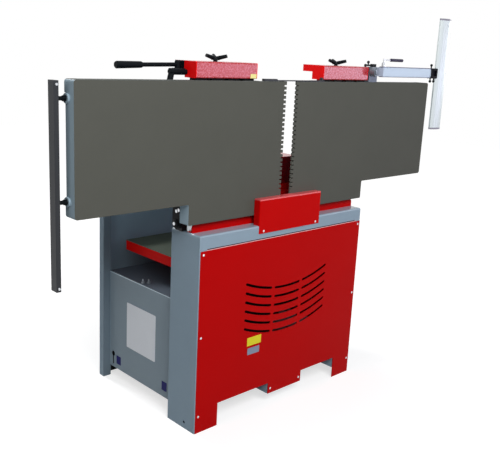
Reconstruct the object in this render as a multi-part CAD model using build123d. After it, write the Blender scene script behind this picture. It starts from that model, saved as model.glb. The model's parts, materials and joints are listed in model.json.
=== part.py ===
from build123d import *
from math import asin, cos, degrees, pi, radians, sin, sqrt
import os

# Driving dimensions in millimetres: X along the feed, Y from drive side to operator, Z up from the floor

# Sheet-metal body
BODY_HALF = 445.0
SIDE_MARGIN = 37.6
BODY_TOP = 752.5
SHEET = 3.0
FOLD_ROUND = 2.8
BROW_ROUND = 6.0
COLUMN_MARGIN = 30.4
SIDE_DEPTH = 34.0
SIDE_RETURN = 35.0
PANEL_INSET = 32.0
PANEL_BOTTOM = 48.0
SHELF_DROP = 126.0
STRIP_WIDTH = 34.0
BAND_GAP = 3.0
ANCHOR_R = 6.5
ANCHOR_Y = 61.0
ANCHOR_Z = 23.0
HANG_R = 11.0
HANG_SLOT = 8.0
HANG_LENGTH = 48.0
HANG_Y = 25.0
HANG_Z = 60.0
STUD_R = 4.0
STUD_HEIGHT = 16.0
STUD_EDGE = 20.0

# Fork pockets under the body
FORK_OUTER = 335.0
TAB_LEFT = -67.0
TAB_RIGHT = 126.0
TAB_BOTTOM = 45.0
POCKET_TOP = 92.0

# Red vented drive cover
COVER_SHEET = 2.0
COVER_MARGIN = 3.0
COVER_DROP = 52.5
COVER_STEP = 3.0
COVER_STEP_WIDTH = 28.0
VENT_X = 10.0
VENT_R = 565.0
VENT_DROP = 210.0
VENT_PITCH = 35.7
VENT_ROWS = 6
VENT_SLOT = 10.0
VENT_SPAN = 222.0
VENT_SLOTS = 3
VENT_BRIDGE = 24.0
SCREW_R = 4.5
SCREW_HEAD = 2.5
SCREW_EDGE = 13.0

# Red cover over the cutterhead pulley
POD_LEFT = -164.0
POD_RIGHT = 174.0
POD_DEPTH = 29.0
POD_LAP = 30.5
POD_RISE = 99.5
POD_ROUND = 4.0
POD_SCREW_INSET = 24.0
POD_SCREW_RISE = 9.0

# Table hinge
HINGE_Y = 110.0
HINGE_RISE = 27.5
HINGE_R = 10.0
RUN_CLEAR = 0.05
SEAT_CLEAR = 0.02
PART_GAP = 0.3
BLOCK_R = 17.0
BLOCK_WIDTH = 24.0
ARM_HUB_R = 20.0
ARM_WEB = 12.0
ARM_BEVEL = 8.0
ARM_X_OUTER = 455.0
ARM_X_INNER = 235.0
ARM_GAP = 2.0
RAIL_Y = 50.0
RAIL_MARGIN = 5.0
RAIL_HEIGHT = 32.5
RAIL_SHEET = 6.0
RAIL_FOOT = 28.0
BOLT_HEAD_R = 6.0
BOLT_HEAD = 5.0
SHAFT_CAP_R = 14.0
SHAFT_CAP = 6.0

# Jointer tables, standing on edge
TABLE_FACE = 31.0
TABLE_DEPTH = 54.0
RIM_DEPTH = 48.0
PLATE = 14.0
RIM_WALL = 12.0
TABLE_END = 910.0
PLANING_WIDTH = 412.0
TABLE_SPARE = 4.0
WIDE_DROP = 74.1
WIDE_GAP = 7.3
WIDE_MARGIN = 19.0
SKIRT_START = 150.0
TABLE_ROUND = 10.0
TABLE_EDGE = 1.5
NOTCH_ROUND = 5.0
RIB = 9.0
RIB_DEPTH = 40.0
PAD_LENGTH = 40.0
LIP_EDGE = 26.6
LIP_ROOT = 60.0
TOOTH_PITCH = 16.7
TOOTH_SLOT = 6.0
TOOTH_DEPTH = 12.0
LIP_CLEAR = 2.5
DEPTH_OF_CUT = 4.0
DEPTH_GAP = 5.0
GUIDE_R = 8.0
GUIDE_LENGTH = 25.0

# Red lock boxes on the operator's edge of each table
BOX_FRONT = 40.0
BOX_DEPTH = 60.0
BOX_LIP = 50.0
BOX_LENGTH = 280.0
BOX_HEIGHT = 55.0
BOX_LIP_HEIGHT = 26.0
BOX_SHEET = 2.5
BOX_ROUND = 5.0
BOX_RISE = 7.0
INFEED_BOX_END = 453.0
OUTFEED_BOX_START = 187.0
LUG_LENGTH = 50.0
LUG_Y = 50.0
LUG_DEPTH = 30.0
KNOB_INSET = 39.0
KNOB_REACH = 41.0
KNOB_TIP = 6.0
KNOB_HUB_R = 15.0
KNOB_HEIGHT = 20.0
KNOB_SHIFT = 115.0
LINK_LEFT = -143.0
LINK_BLOCK = 68.0
LINK_Y = 33.0
LINK_DEPTH = 12.0
LINK_HEIGHT = 8.0
LINK_RISE = 0.6

# Depth lever and clamp handle on the infeed table
LEVER_GAP = 15.0
LEVER_INSET = 20.0
LEVER_SINK = 14.7
LEVER_ROD_R = 7.0
LEVER_LENGTH = 240.0
LEVER_TILT = 1.4
LEVER_GRIP_R = 12.0
LEVER_GRIP_LENGTH = 95.0
LEVER_HUB_R = 10.5
LEVER_HUB_HALF = 11.0
LEVER_PIN_R = 6.0
LEVER_PLATE = 6.0
LEVER_PLATE_LAP = 40.0
LEVER_PLATE_HALF = 14.0
LEVER_END_PLATE = 3.0
GRIP_NOSE = 4.0
CLAMP_INSET = 52.0
CLAMP_RISE = 18.6
CLAMP_HUB_R = 11.0
CLAMP_HUB_LENGTH = 72.0
CLAMP_REACH = 62.0
CLAMP_LEAN = 13.0
CLAMP_COLLAR = 8.0
CLAMP_EDGE = 3.0

# Fence rail on the end of the infeed table
RAIL_BAR_GAP = 37.0
RAIL_BAR_X = 16.0
RAIL_BAR_Y = 34.0
RAIL_BAR_DROP = 221.4
RAIL_BOLT_Y = 67.0
RAIL_BOLT_EDGE = 52.0
RAIL_BOLT_R = 5.0
SPACER_R = 9.0
SPACER_NECK_R = 6.5
SPACER_STEP = 3.0
RAIL_PAD_R = 15.0
RAIL_PAD = 7.0
RAIL_STUD = 11.0
RAIL_STOP_R = 4.0
RAIL_STOP = 5.0
RAIL_STOP_EDGE = 11.0
RAIL_BEVEL = 1.0

# Bridge guard on the outfeed table
GUARD_PIVOT_GAP = 19.0
GUARD_PIVOT_RISE = 44.6
GUARD_PIN_R = 8.0
GUARD_FRONT = 10.0
GUARD_THICK = 24.0
KNUCKLE_LENGTH = 44.0
KNUCKLE_HALF = 18.0
GUARD_ARM_LENGTH = 364.0
GUARD_ARM_HEIGHT = 43.0
GUARD_ARM_THICK = 20.0
GUARD_ARM_WALL = 2.5
GUARD_BLOCK_LENGTH = 50.0
GUARD_WIDTH = 86.0
GUARD_CROWN = 21.0
GUARD_WALL = 2.5
GUARD_FLUTES = 6
GUARD_FLUTE_PITCH = 11.0
GUARD_SET = 6.0
GUARD_EDGE = 7.0
GUARD_HEAD_R = 14.0
GUARD_HEAD = 5.0
GUARD_DROP = 2.0
GUARD_BEVEL = 3.0
GUARD_BELOW = 256.0
GUARD_ABOVE = 242.0
GUARD_CAP = 8.0
BRACKET_WIDTH = 74.0
BRACKET_DEPTH = 34.0
BRACKET_CLEAR = 2.0
GUARD_LEVER_SHIFT = 15.0
GUARD_LEVER_RISE = 27.5
GUARD_LEVER_REACH = 133.0
GUARD_GRIP_LENGTH = 88.0
GUARD_GRIP_R = 6.5
GUARD_ROD_R = 3.0
GUARD_STUD_R = 9.0
GUARD_STUD = 18.0
GUARD_NECK_R = 4.5
THUMB_R = 6.0
THUMB_RISE = 13.0
THUMB_INSET = 13.0
THUMB_PITCH = 28.0
LOCK_PIN_R = 3.5
LOCK_PIN_RISE = 24.0
LOCK_PIN_REACH = 28.0
LOCK_PIN_Y = 50.0
LOCK_PIN_LUG = 12.0
LOCK_PIN_BAR = 26.0
ARM_GROOVE = 4.0
ARM_GROOVE_DEEP = 1.2

# Cutterhead, rollers and hood
CUTTER_R = 40.0
KNIFE_PROUD = 0.8
KNIFE_COUNT = 3
KNIFE_THICK = 3.0
GULLET = 16.0
GULLET_ROOT_R = 21.0
CUTTER_MARGIN = 1.0
SHAFT_R = 14.0
HEAD_WALL = 37.0
HEAD_HALF = 160.0
HEAD_WALL_REAR = 23.0
HEAD_HEIGHT = 47.5
HEAD_WINDOW = 20.0
HEAD_FLOOR = 12.0
HEAD_ROOF = 16.0
TOWER_WIDTH = 60.0
TOWER_RISE = 36.0
TOWER_ROUND = 6.0
CUTTER_BOSS_R = 38.0
ROLLER_X = 115.0
ROLLER_R = 22.0
ROLLER_DROP = 1.0
ROLLER_SHAFT_R = 10.0
ROLLER_BOSS_R = 18.0
ROLLER_FLUTES = 36
ROLLER_FLUTE_DEPTH = 2.0
ROLLER_INSET = 29.0
HOOD_LEFT = 50.0
HOOD_SHOULDER = 100.0
HOOD_RIGHT = 150.0
HOOD_RISE = 170.0
HOOD_LIFT = 62.0
HOOD_ROUND = 24.0
HOOD_SHEET = 3.0
HOOD_INSET = 7.0
HOOD_HUB_R = 26.0
HOOD_BOSS_R = 16.0
HOOD_BOSS_LENGTH = 22.0
HOOD_ARM_HALF = 40.0
HOOD_CHEEK = 68.0
HOOD_ARM_LAP = 30.0
PORT_R = 42.0
PORT_X = 50.0
PORT_RIM = 3.0
PORT_RIM_LENGTH = 5.0
FINGER_X = 63.0
FINGER_SINK = 3.0
FINGER_BAR_R = 6.0
FINGER_HUB_R = 11.0
FINGER_PITCH = 24.0
FINGER_THICK = 10.0
FINGER_DROP = 21.0
FINGER_TRAIL = 23.0
FINGER_PLATE = 6.0
FINGER_TIP = 4.0

# Belt drive
PULLEY_FRONT = 6.0
PULLEY_WIDTH = 20.0
PULLEY_R = 24.0
MOTOR_PULLEY_R = 48.0
BELT_THICK = 4.0
BELT_MARGIN = 2.0
MOTOR_X = 180.0
MOTOR_Z = 230.0
MOTOR_R = 72.0
MOTOR_FRONT = 50.0
MOTOR_LENGTH = 250.0
MOTOR_FLANGE_R = 92.0
MOTOR_FLANGE = 10.0
MOTOR_FINS = 20
MOTOR_FIN = 5.0
MOTOR_SHAFT_R = 12.0
MOTOR_SEAT = 38.0

# Thicknesser bed and its lift
BED_HALF = 352.0
BED_SIDE_GAP = 20.0
BED_DROP = 156.5
BED_RIM = 40.0
BED_PLATE = 14.0
BED_WALL = 12.0
MIN_STOCK = 14.0
BED_STOP_GAP = 29.0
LIFT_R = 42.0
LIFT_BORE_R = 15.0
LIFT_SPARE = 6.0
HOUSING_R = 58.0
HOUSING_DROP = 15.0
HOUSING_FOOT = 12.0
HOUSING_FOOT_R = 80.0
SCREW_LIFT_R = 12.0
WHEEL_Z = 300.0
WHEEL_R = 75.0
WHEEL_RIM_R = 9.0
WHEEL_SHAFT_R = 10.0
WHEEL_STAND = 24.0
WHEEL_HUB_R = 18.0
WHEEL_HUB_LENGTH = 30.0
GRIP_R = 10.0
GRIP_LENGTH = 62.0
GEARBOX_R = 22.0
GEARBOX_REACH = 76.0
SPOKE_WIDTH = 12.0
SPOKE_THICK = 10.0

# Switch on the operator's side
SWITCH_INSET = 115.0
SWITCH_DROP = 132.5
SWITCH_WIDTH = 84.0
SWITCH_HEIGHT = 140.0
SWITCH_DEPTH = 46.0
SWITCH_WALL = 2.5
BUTTON_RISE = 30.0
BUTTON_R = 12.0
STOP_R = 19.0
BUTTON_PROUD = 7.0
BUTTON_TRAVEL = 4.0
BUTTON_ROOT = 18.0
BUTTON_DOME = 2.0
SWITCH_ROUND = 6.0

# Worked-out places, from the body's top up to the tables
HINGE_Z = BODY_TOP + HINGE_RISE
RAIL_TOP = BODY_TOP + RAIL_HEIGHT
WIDE_EDGE = HINGE_Z + WIDE_GAP
NARROW_EDGE = WIDE_EDGE + WIDE_DROP
TABLE_TOP = NARROW_EDGE + PLANING_WIDTH + TABLE_SPARE
WIDE_END = ARM_X_OUTER + WIDE_MARGIN
BOX_BOTTOM = TABLE_TOP + BOX_RISE
BOX_TOP = BOX_BOTTOM + BOX_HEIGHT
KNOB_Y = BOX_FRONT + KNOB_INSET
LEVER_X = INFEED_BOX_END + LEVER_GAP
LEVER_Y = BOX_FRONT + BOX_DEPTH + LEVER_INSET
LEVER_Z = BOX_TOP - LEVER_SINK
CLAMP_Y = BOX_FRONT + CLAMP_INSET
CLAMP_Z = BOX_BOTTOM + CLAMP_RISE
RAIL_BAR_BOTTOM = NARROW_EDGE - RAIL_BAR_DROP
RAIL_BAR_TOP = TABLE_TOP - TABLE_SPARE
GUARD_PIVOT_X = OUTFEED_BOX_START + BOX_LENGTH + GUARD_PIVOT_GAP
GUARD_PIVOT_Z = TABLE_TOP + GUARD_PIVOT_RISE
GUARD_BOTTOM = GUARD_PIVOT_Z - GUARD_BELOW
GUARD_TOP = GUARD_PIVOT_Z + GUARD_ABOVE
GUARD_BACK = GUARD_FRONT + GUARD_THICK
KNUCKLE_END = GUARD_PIVOT_X + KNUCKLE_LENGTH
GUARD_BLOCK_X = KNUCKLE_END + GUARD_ARM_LENGTH
GUARD_X = GUARD_BLOCK_X + GUARD_BLOCK_LENGTH + PART_GAP
GUARD_LEVER_X = KNUCKLE_END + GUARD_LEVER_SHIFT
GUARD_LEVER_Z = GUARD_PIVOT_Z + GUARD_ARM_HEIGHT / 2 + GUARD_LEVER_RISE

# Worked-out places of the head, from the lowered tables
WORK_HEIGHT = HINGE_Z + HINGE_Y - TABLE_FACE
CUTTER_Z = WORK_HEIGHT - CUTTER_R
CUTTER_Y_UP = HINGE_Y - (CUTTER_Z - HINGE_Z)
ROLLER_Z = CUTTER_Z - CUTTER_R - ROLLER_DROP + ROLLER_R
PLANING_START = HINGE_Y + NARROW_EDGE - HINGE_Z
PLANING_END = PLANING_START + PLANING_WIDTH
COLUMN_DEPTH = PLANING_START - COLUMN_MARGIN
BODY_DEPTH = PLANING_END + SIDE_MARGIN
SIDE_INNER = BODY_DEPTH - SIDE_DEPTH
THROAT_MID = (COLUMN_DEPTH + SIDE_INNER) / 2
HEAD_FRONT = COLUMN_DEPTH - HEAD_WALL
HEAD_REAR = BODY_DEPTH - HEAD_WALL_REAR
HEAD_TOP = BODY_TOP + HEAD_HEIGHT
HOOD_START = COLUMN_DEPTH + HOOD_INSET
HOOD_END = SIDE_INNER - HOOD_INSET
PORT_LIFT = (HOOD_RISE + HOOD_LIFT) / 2

# Worked-out places of the body and the bed
PANEL_X = BODY_HALF - PANEL_INSET
COVER_HALF = BODY_HALF - COVER_MARGIN
RAIL_HALF = BODY_HALF - RAIL_MARGIN
SWITCH_X = BODY_HALF - SWITCH_INSET
COVER_TOP = BODY_TOP - COVER_DROP
VENT_LOW = COVER_TOP - VENT_DROP
POD_TOP = BODY_TOP + POD_RISE
POD_BOTTOM = BODY_TOP - POD_LAP
SWITCH_Z = BODY_TOP - SWITCH_DROP
FLOOR_PLATE_TOP = POCKET_TOP + SHEET
BED_TOP = BODY_TOP - BED_DROP
BED_WIDTH = SIDE_INNER - COLUMN_DEPTH - 2 * BED_SIDE_GAP
BED_UP = CUTTER_Z - CUTTER_R - BED_TOP - MIN_STOCK
BED_DOWN = SHELF_DROP - BED_RIM - BED_STOP_GAP
SHELF_TOP = BED_TOP - SHELF_DROP
HOUSING_TOP = SHELF_TOP - HOUSING_DROP
SCREW_LIFT_TOP = HOUSING_TOP - HOUSING_DROP
LIFT_BOTTOM = FLOOR_PLATE_TOP + HOUSING_FOOT + BED_DOWN + LIFT_SPARE

DIRECTIONS = {"X": (1, 0, 0), "Y": (0, 1, 0), "Z": (0, 0, 1)}
TURNS = {"X": (0, 90, 0), "Y": (90, 0, 0), "Z": (0, 0, 0)}
nodes = {}


def place(axis, along, a, b):
    """The point at a distance along one axis, with a and b on the other two in X, Y, Z order."""
    return {"X": (along, a, b), "Y": (a, along, b), "Z": (a, b, along)}[axis]


def block(x0, x1, y0, y1, z0, z1):
    """A box between two corners."""
    centre = Pos((x0 + x1) / 2, (y0 + y1) / 2, (z0 + z1) / 2)
    return centre * Box(abs(x1 - x0), abs(y1 - y0), abs(z1 - z0))


def rod(axis, start, stop, a, b, radius):
    """A round bar along one axis."""
    centre = Pos(*place(axis, (start + stop) / 2, a, b))
    return centre * Rot(*TURNS[axis]) * Cylinder(radius, abs(stop - start))


def tube(axis, start, stop, a, b, outer, inner):
    """A round bar with a bore right through it."""
    return rod(axis, start, stop, a, b, outer) - rod(axis, start - 1, stop + 1, a, b, inner)


def face_of(axis, along, outline):
    """A flat closed outline across one axis."""
    return make_face(Polyline(*[place(axis, along, a, b) for a, b in outline], close=True))


def prism(axis, start, stop, outline):
    """A closed outline carried straight along one axis."""
    return extrude(face_of(axis, start, outline), amount=stop - start, dir=DIRECTIONS[axis])


def turned(axis, a, b, outline):
    """A lathe-turned piece: pairs of distance along the axis and radius, spun round it."""
    points = [(radius, along) for along, radius in outline]
    profile = make_face(Plane.XZ * Polyline(*points, close=True))
    spun = revolve(profile, Axis.Z)
    stand = {"X": Rot(0, 90, 0), "Y": Rot(-90, 0, 0), "Z": Rot(0, 0, 0)}[axis]
    return Pos(*place(axis, 0, a, b)) * stand * spun


def mirrored(solid):
    """The same piece on the other side of the cutterhead."""
    return mirror(solid, about=Plane.YZ)


def group(pieces):
    """Several separate solids kept in one node."""
    return Compound([solid for piece in pieces for solid in piece.solids()])


def body_sheet(half, top):
    """Outline of a tall body sheet: feet at both ends, two fork cut-outs and a centre tab."""
    left = [(-half, 0), (-FORK_OUTER, 0), (-FORK_OUTER, POCKET_TOP), (TAB_LEFT, POCKET_TOP)]
    tab = [(TAB_LEFT, TAB_BOTTOM), (TAB_RIGHT, TAB_BOTTOM)]
    right = [(TAB_RIGHT, POCKET_TOP), (FORK_OUTER, POCKET_TOP), (FORK_OUTER, 0), (half, 0)]
    return left + tab + right + [(half, top), (-half, top)]


# Body: drive column, feet, operator's column, end panels, shelf and floor plate
def drive_column():
    """Open-fronted sheet column: end walls, back wall with fork cut-outs, top and front strips."""
    wall = prism("Y", COLUMN_DEPTH - SHEET, COLUMN_DEPTH, body_sheet(BODY_HALF, BODY_TOP))
    end = block(BODY_HALF - SHEET, BODY_HALF, 0, COLUMN_DEPTH, 0, BODY_TOP)
    strip = block(BODY_HALF - STRIP_WIDTH, BODY_HALF, 0, SHEET, 0, BODY_TOP)
    top = block(-BODY_HALF, BODY_HALF, 0, COLUMN_DEPTH, BODY_TOP - SHEET, BODY_TOP)
    belt_half = MOTOR_PULLEY_R + BELT_THICK
    slot_left = -PULLEY_R - 2 * BELT_THICK
    slot_end = PULLEY_FRONT + PULLEY_WIDTH + BELT_MARGIN
    slot_start = PULLEY_FRONT + BELT_MARGIN / 2
    slot_right = slot_left + 2 * belt_half
    top -= block(slot_left, slot_right, slot_start, slot_end, BODY_TOP - 2 * SHEET, BODY_TOP + SHEET)
    band = block(-BODY_HALF, BODY_HALF, 0, SHEET, COVER_TOP + BAND_GAP, BODY_TOP)
    wall -= rod("Y", 0, 2 * COLUMN_DEPTH, MOTOR_X, MOTOR_Z, MOTOR_R + MOTOR_FIN + PART_GAP)
    column = wall + end + mirrored(end) + strip + mirrored(strip) + top + band + column_feet()
    corners = column.edges().filter_by(Axis.Z).filter_by(lambda e: abs(e.center().X) > BODY_HALF - SHEET / 2)
    column = fillet(corners, FOLD_ROUND)
    brow = column.edges().filter_by(Axis.X).group_by(Axis.Y)[0].sort_by(Axis.Z)[-1]
    column = fillet(brow, BROW_ROUND)
    anchor = rod("X", -BODY_HALF - SHEET, -BODY_HALF + 2 * SHEET, ANCHOR_Y, ANCHOR_Z, ANCHOR_R)
    return column - anchor


def column_feet():
    """Three folded boxes welded in the column's foot, one each side of the fork pockets and one between."""
    spans = [(-BODY_HALF + SHEET, -FORK_OUTER), (TAB_LEFT, TAB_RIGHT), (FORK_OUTER, BODY_HALF - SHEET)]
    feet = []
    for left, right in spans:
        shell = block(left, right, SHEET, COLUMN_DEPTH - SHEET, TAB_BOTTOM, POCKET_TOP)
        hollow = block(left + SHEET, right - SHEET, 0, COLUMN_DEPTH, TAB_BOTTOM + SHEET, POCKET_TOP - SHEET)
        feet.append(shell - hollow)
    return feet[0] + feet[1] + feet[2]


def operator_column():
    """Shallow sheet column with returned ends, a hose hole and the handwheel's bearing hole."""
    skin = prism("Y", BODY_DEPTH - SHEET, BODY_DEPTH, body_sheet(BODY_HALF, BODY_TOP))
    end = block(BODY_HALF - SHEET, BODY_HALF, SIDE_INNER, BODY_DEPTH, 0, BODY_TOP)
    back = block(BODY_HALF - SIDE_RETURN, BODY_HALF, SIDE_INNER, SIDE_INNER + SHEET, 0, BODY_TOP)
    top = block(-BODY_HALF, BODY_HALF, SIDE_INNER, BODY_DEPTH, BODY_TOP - SHEET, BODY_TOP)
    hose_x = ROLLER_X - PORT_X
    hose_z = ROLLER_Z - PORT_LIFT
    skin -= rod("Y", SIDE_INNER, BODY_DEPTH + SHEET, hose_x, hose_z, PORT_R + 4 * PORT_RIM)
    skin -= rod("Y", SIDE_INNER, BODY_DEPTH + SHEET, 0, WHEEL_Z, WHEEL_SHAFT_R + RUN_CLEAR)
    column = skin + end + mirrored(end) + back + mirrored(back) + top
    corners = column.edges().filter_by(Axis.Z).filter_by(lambda e: abs(e.center().X) > BODY_HALF - SHEET / 2)
    return fillet(corners, FOLD_ROUND)


def end_panel():
    """Recessed end panel with a keyhole to hang it by, on the outfeed end."""
    panel = block(PANEL_X - SHEET, PANEL_X, COLUMN_DEPTH, SIDE_INNER, PANEL_BOTTOM, SHELF_TOP - SHEET)
    back = PANEL_X - 2 * SHEET
    front = PANEL_X + SHEET
    slot_y = SIDE_INNER - HANG_Y
    slot_z = PANEL_BOTTOM + HANG_Z
    half = HANG_SLOT / 2
    panel -= rod("X", back, front, slot_y, slot_z, HANG_R)
    return panel - block(back, front, slot_y - half, slot_y + half, slot_z - HANG_LENGTH, slot_z)


def shelf_plate():
    """Shelf under the bed, with a hole for the lift column."""
    plate = block(-PANEL_X, PANEL_X, COLUMN_DEPTH, SIDE_INNER, SHELF_TOP - SHEET, SHELF_TOP)
    return plate - rod("Z", 0, BODY_TOP, 0, THROAT_MID, LIFT_R + 2 * SHEET)


def shelf_studs():
    """Two short studs with nuts at the infeed end of the shelf."""
    nut = SHELF_TOP + 1.5 * STUD_R
    top = SHELF_TOP + STUD_HEIGHT
    shape = [(SHELF_TOP, 0), (SHELF_TOP, 2 * STUD_R), (nut, 2 * STUD_R), (nut, STUD_R), (top, STUD_R), (top, 0)]
    studs = []
    for shift in (-2 * STUD_R, 2 * STUD_R):
        studs.append(turned("Z", -PANEL_X + STUD_EDGE + shift, THROAT_MID - shift, shape))
    return studs


nodes["drive_column"] = drive_column()
nodes["operator_column"] = operator_column()
nodes["end_panels"] = group([end_panel(), mirrored(end_panel())])
nodes["shelf_plate"] = shelf_plate()
nodes["floor_plate"] = block(
    -PANEL_X + SHEET, PANEL_X - SHEET, COLUMN_DEPTH, SIDE_INNER, POCKET_TOP, FLOOR_PLATE_TOP
)


# Red covers and their screws
def vent_slot(low, start, stop):
    """One curved louvre slot of a row that sags to its lowest point in the middle."""
    centre = (VENT_X, low + VENT_R)
    first = -90 + degrees(asin(start / VENT_R))
    sweep = degrees(asin(stop / VENT_R)) - degrees(asin(start / VENT_R))
    slot = Plane.XZ * SlotArc(CenterArc(centre, VENT_R, first, sweep), VENT_SLOT)
    return extrude(slot, amount=4 * COVER_SHEET, both=True)


def vented_cover():
    """Drive cover: stepped top corners, fork cut-outs and six sagging rows of three slots."""
    outline = body_sheet(COVER_HALF, COVER_TOP - COVER_STEP)
    inner = COVER_HALF - COVER_STEP_WIDTH
    shoulder = COVER_TOP - COVER_STEP
    outline[-1:-1] = [(inner, shoulder), (inner, COVER_TOP), (-inner, COVER_TOP), (-inner, shoulder)]
    cover = prism("Y", -COVER_SHEET, 0, outline)
    length = (2 * VENT_SPAN - (VENT_SLOTS - 1) * VENT_BRIDGE) / VENT_SLOTS
    for row in range(VENT_ROWS):
        for column in range(VENT_SLOTS):
            start = -VENT_SPAN + column * (length + VENT_BRIDGE)
            cover -= vent_slot(VENT_LOW - row * VENT_PITCH, start, start + length)
    return cover


def screw_head(x, z):
    """A domed screw head on the drive-side face."""
    rim = -COVER_SHEET - SCREW_HEAD / 2
    crown = -COVER_SHEET - SCREW_HEAD
    shape = [(-COVER_SHEET, 0), (-COVER_SHEET, SCREW_R), (rim, SCREW_R), (crown, SCREW_R / 2), (crown, 0)]
    return turned("Y", x, z, shape)


def cover_screws():
    """Three screws down each edge of the drive cover, two in its tab and two in the pulley cover."""
    column_x = COVER_HALF - SCREW_EDGE
    low = POCKET_TOP - 2 * SCREW_EDGE
    high = COVER_TOP - SCREW_EDGE - COVER_STEP
    heads = [screw_head(side * column_x, z) for side in (-1, 1) for z in (low, (low + high) / 2, high)]
    tab = [screw_head(x, low) for x in (TAB_LEFT + SCREW_EDGE, TAB_RIGHT - SCREW_EDGE)]
    pod = [
        screw_head(x, POD_BOTTOM + POD_SCREW_RISE)
        for x in (POD_LEFT + POD_SCREW_INSET, POD_RIGHT - POD_SCREW_INSET)
    ]
    return heads + tab + pod


def pulley_cover():
    """Open-backed sheet cover over the cutterhead pulley, lapping the front of the column."""
    outer = block(POD_LEFT, POD_RIGHT, -COVER_SHEET, POD_DEPTH, POD_BOTTOM, POD_TOP)
    front_edges = outer.edges().filter_by(Axis.Z).sort_by(Axis.Y)[:2]
    top_edge = outer.edges().filter_by(Axis.X).sort_by(Axis.Y)[:2].sort_by(Axis.Z)[-1]
    outer = fillet([*front_edges, top_edge], POD_ROUND)
    wall = COVER_SHEET
    hollow = block(POD_LEFT + wall, POD_RIGHT - wall, 0, POD_DEPTH + 1, POD_BOTTOM - 1, POD_TOP - wall)
    behind = block(POD_LEFT - 1, POD_RIGHT + 1, 0, POD_DEPTH + 1, POD_BOTTOM - 1, BODY_TOP)
    return outer - hollow - behind


nodes["vented_cover"] = vented_cover()
nodes["pulley_cover"] = pulley_cover()
nodes["body_screws"] = group(cover_screws() + shelf_studs())


# Hinge line: red rail, pivot blocks, shafts and the arms bolted under the tables
def hinge_rail():
    """Red angle along the column top, with rounded upper ends."""
    upright = face_of(
        "Y",
        RAIL_Y,
        [(-RAIL_HALF, BODY_TOP), (RAIL_HALF, BODY_TOP), (RAIL_HALF, RAIL_TOP), (-RAIL_HALF, RAIL_TOP)],
    )
    upright = fillet(upright.vertices().sort_by(Axis.Z)[-2:], (RAIL_TOP - BODY_TOP) / 2)
    upright = extrude(upright, amount=RAIL_SHEET, dir=DIRECTIONS["Y"])
    foot = block(-RAIL_HALF, RAIL_HALF, RAIL_Y, RAIL_Y + RAIL_FOOT, BODY_TOP, BODY_TOP + RAIL_SHEET / 2)
    return upright + foot


def pivot_block(x):
    """A pivot block on the column top, rounded about the hinge line."""
    base = block(x, x + BLOCK_WIDTH, HINGE_Y - BLOCK_R, HINGE_Y + BLOCK_R, BODY_TOP, HINGE_Z)
    bore = rod("X", x - 1, x + BLOCK_WIDTH + 1, HINGE_Y, HINGE_Z, HINGE_R + SEAT_CLEAR)
    return base + rod("X", x, x + BLOCK_WIDTH, HINGE_Y, HINGE_Z, BLOCK_R) - bore


def hinge_arm(x, guided):
    """A black hinge arm: foot under the table, web and hub, with a guide pin where the table slides on it.
    The end arms have a square web, and the inner ones slope away from the hood."""
    under = TABLE_FACE + TABLE_DEPTH
    back = under + ARM_WEB
    low = WIDE_EDGE + ARM_WEB
    high = NARROW_EDGE - ARM_WEB
    web = [
        (under, low),
        (under, high),
        (HINGE_Y + ARM_HUB_R - ARM_BEVEL if x == ARM_X_OUTER else back + ARM_WEB / 2, high),
        (HINGE_Y + ARM_HUB_R, high - ARM_BEVEL if x == ARM_X_OUTER else HINGE_Z + ARM_HUB_R / 4),
        (HINGE_Y + ARM_HUB_R, HINGE_Z),
        (HINGE_Y, HINGE_Z),
        (HINGE_Y - ARM_HUB_R, HINGE_Z),
        (under + ARM_WEB / 2, low),
    ]
    foot = block(x - ARM_WEB, x + ARM_WEB, under, back, low, high)
    arm = foot + prism("X", x, x + ARM_WEB, web) + rod("X", x, x + ARM_WEB, HINGE_Y, HINGE_Z, ARM_HUB_R)
    arm -= rod("X", x - 1, x + ARM_WEB + 1, HINGE_Y, HINGE_Z, HINGE_R + RUN_CLEAR)
    if guided:
        arm += rod("Y", under - GUIDE_LENGTH, under, x + ARM_WEB / 2, (low + high) / 2, GUIDE_R)
    return arm


def hinge_bolts():
    """Two bolt heads on the outer face of each end arm."""
    face = ARM_X_OUTER + ARM_WEB
    under = TABLE_FACE + TABLE_DEPTH
    high = NARROW_EDGE - 2.5 * ARM_WEB
    spots = [(under + ARM_WEB / 2, high), (under + 1.6 * ARM_WEB, high - ARM_WEB / 2)]
    crown = face + BOLT_HEAD
    rim = face + 0.8 * BOLT_HEAD
    shape = [(face, 0), (face, BOLT_HEAD_R), (rim, BOLT_HEAD_R), (crown, 0.7 * BOLT_HEAD_R), (crown, 0)]
    side = [turned("X", y, z, shape) for y, z in spots]
    return side + [mirrored(bolt) for bolt in side]


def hinge_shaft():
    """Hinge shaft of one table, with a washer and a bolt closing its outer end."""
    face = ARM_X_OUTER + ARM_WEB + PART_GAP
    crown = face + SHAFT_CAP
    rim = face + 0.8 * SHAFT_CAP
    cap = [(face, 0), (face, SHAFT_CAP_R), (rim, SHAFT_CAP_R), (crown, 0.85 * SHAFT_CAP_R), (crown, 0)]
    shaft = rod("X", block_places[0], face, HINGE_Y, HINGE_Z, HINGE_R)
    bolt = rod("X", crown - 1, crown + BOLT_HEAD / 2, HINGE_Y, HINGE_Z, BOLT_HEAD_R)
    return shaft + turned("X", HINGE_Y, HINGE_Z, cap) + bolt


arm_places = (ARM_X_INNER, ARM_X_OUTER)
block_places = [x - ARM_GAP - BLOCK_WIDTH for x in arm_places]
pivot_blocks = [pivot_block(x) for x in block_places]
nodes["hinge_rail"] = hinge_rail()
nodes["pivot_blocks"] = group(pivot_blocks + [mirrored(piece) for piece in pivot_blocks])
nodes["hinge_shafts"] = group([hinge_shaft(), mirrored(hinge_shaft())])
outfeed_arms = [hinge_arm(x, False) for x in arm_places]
infeed_arms = [mirrored(hinge_arm(x, True)) for x in arm_places]
nodes["hinge_arms"] = group(outfeed_arms + infeed_arms + hinge_bolts())


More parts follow.
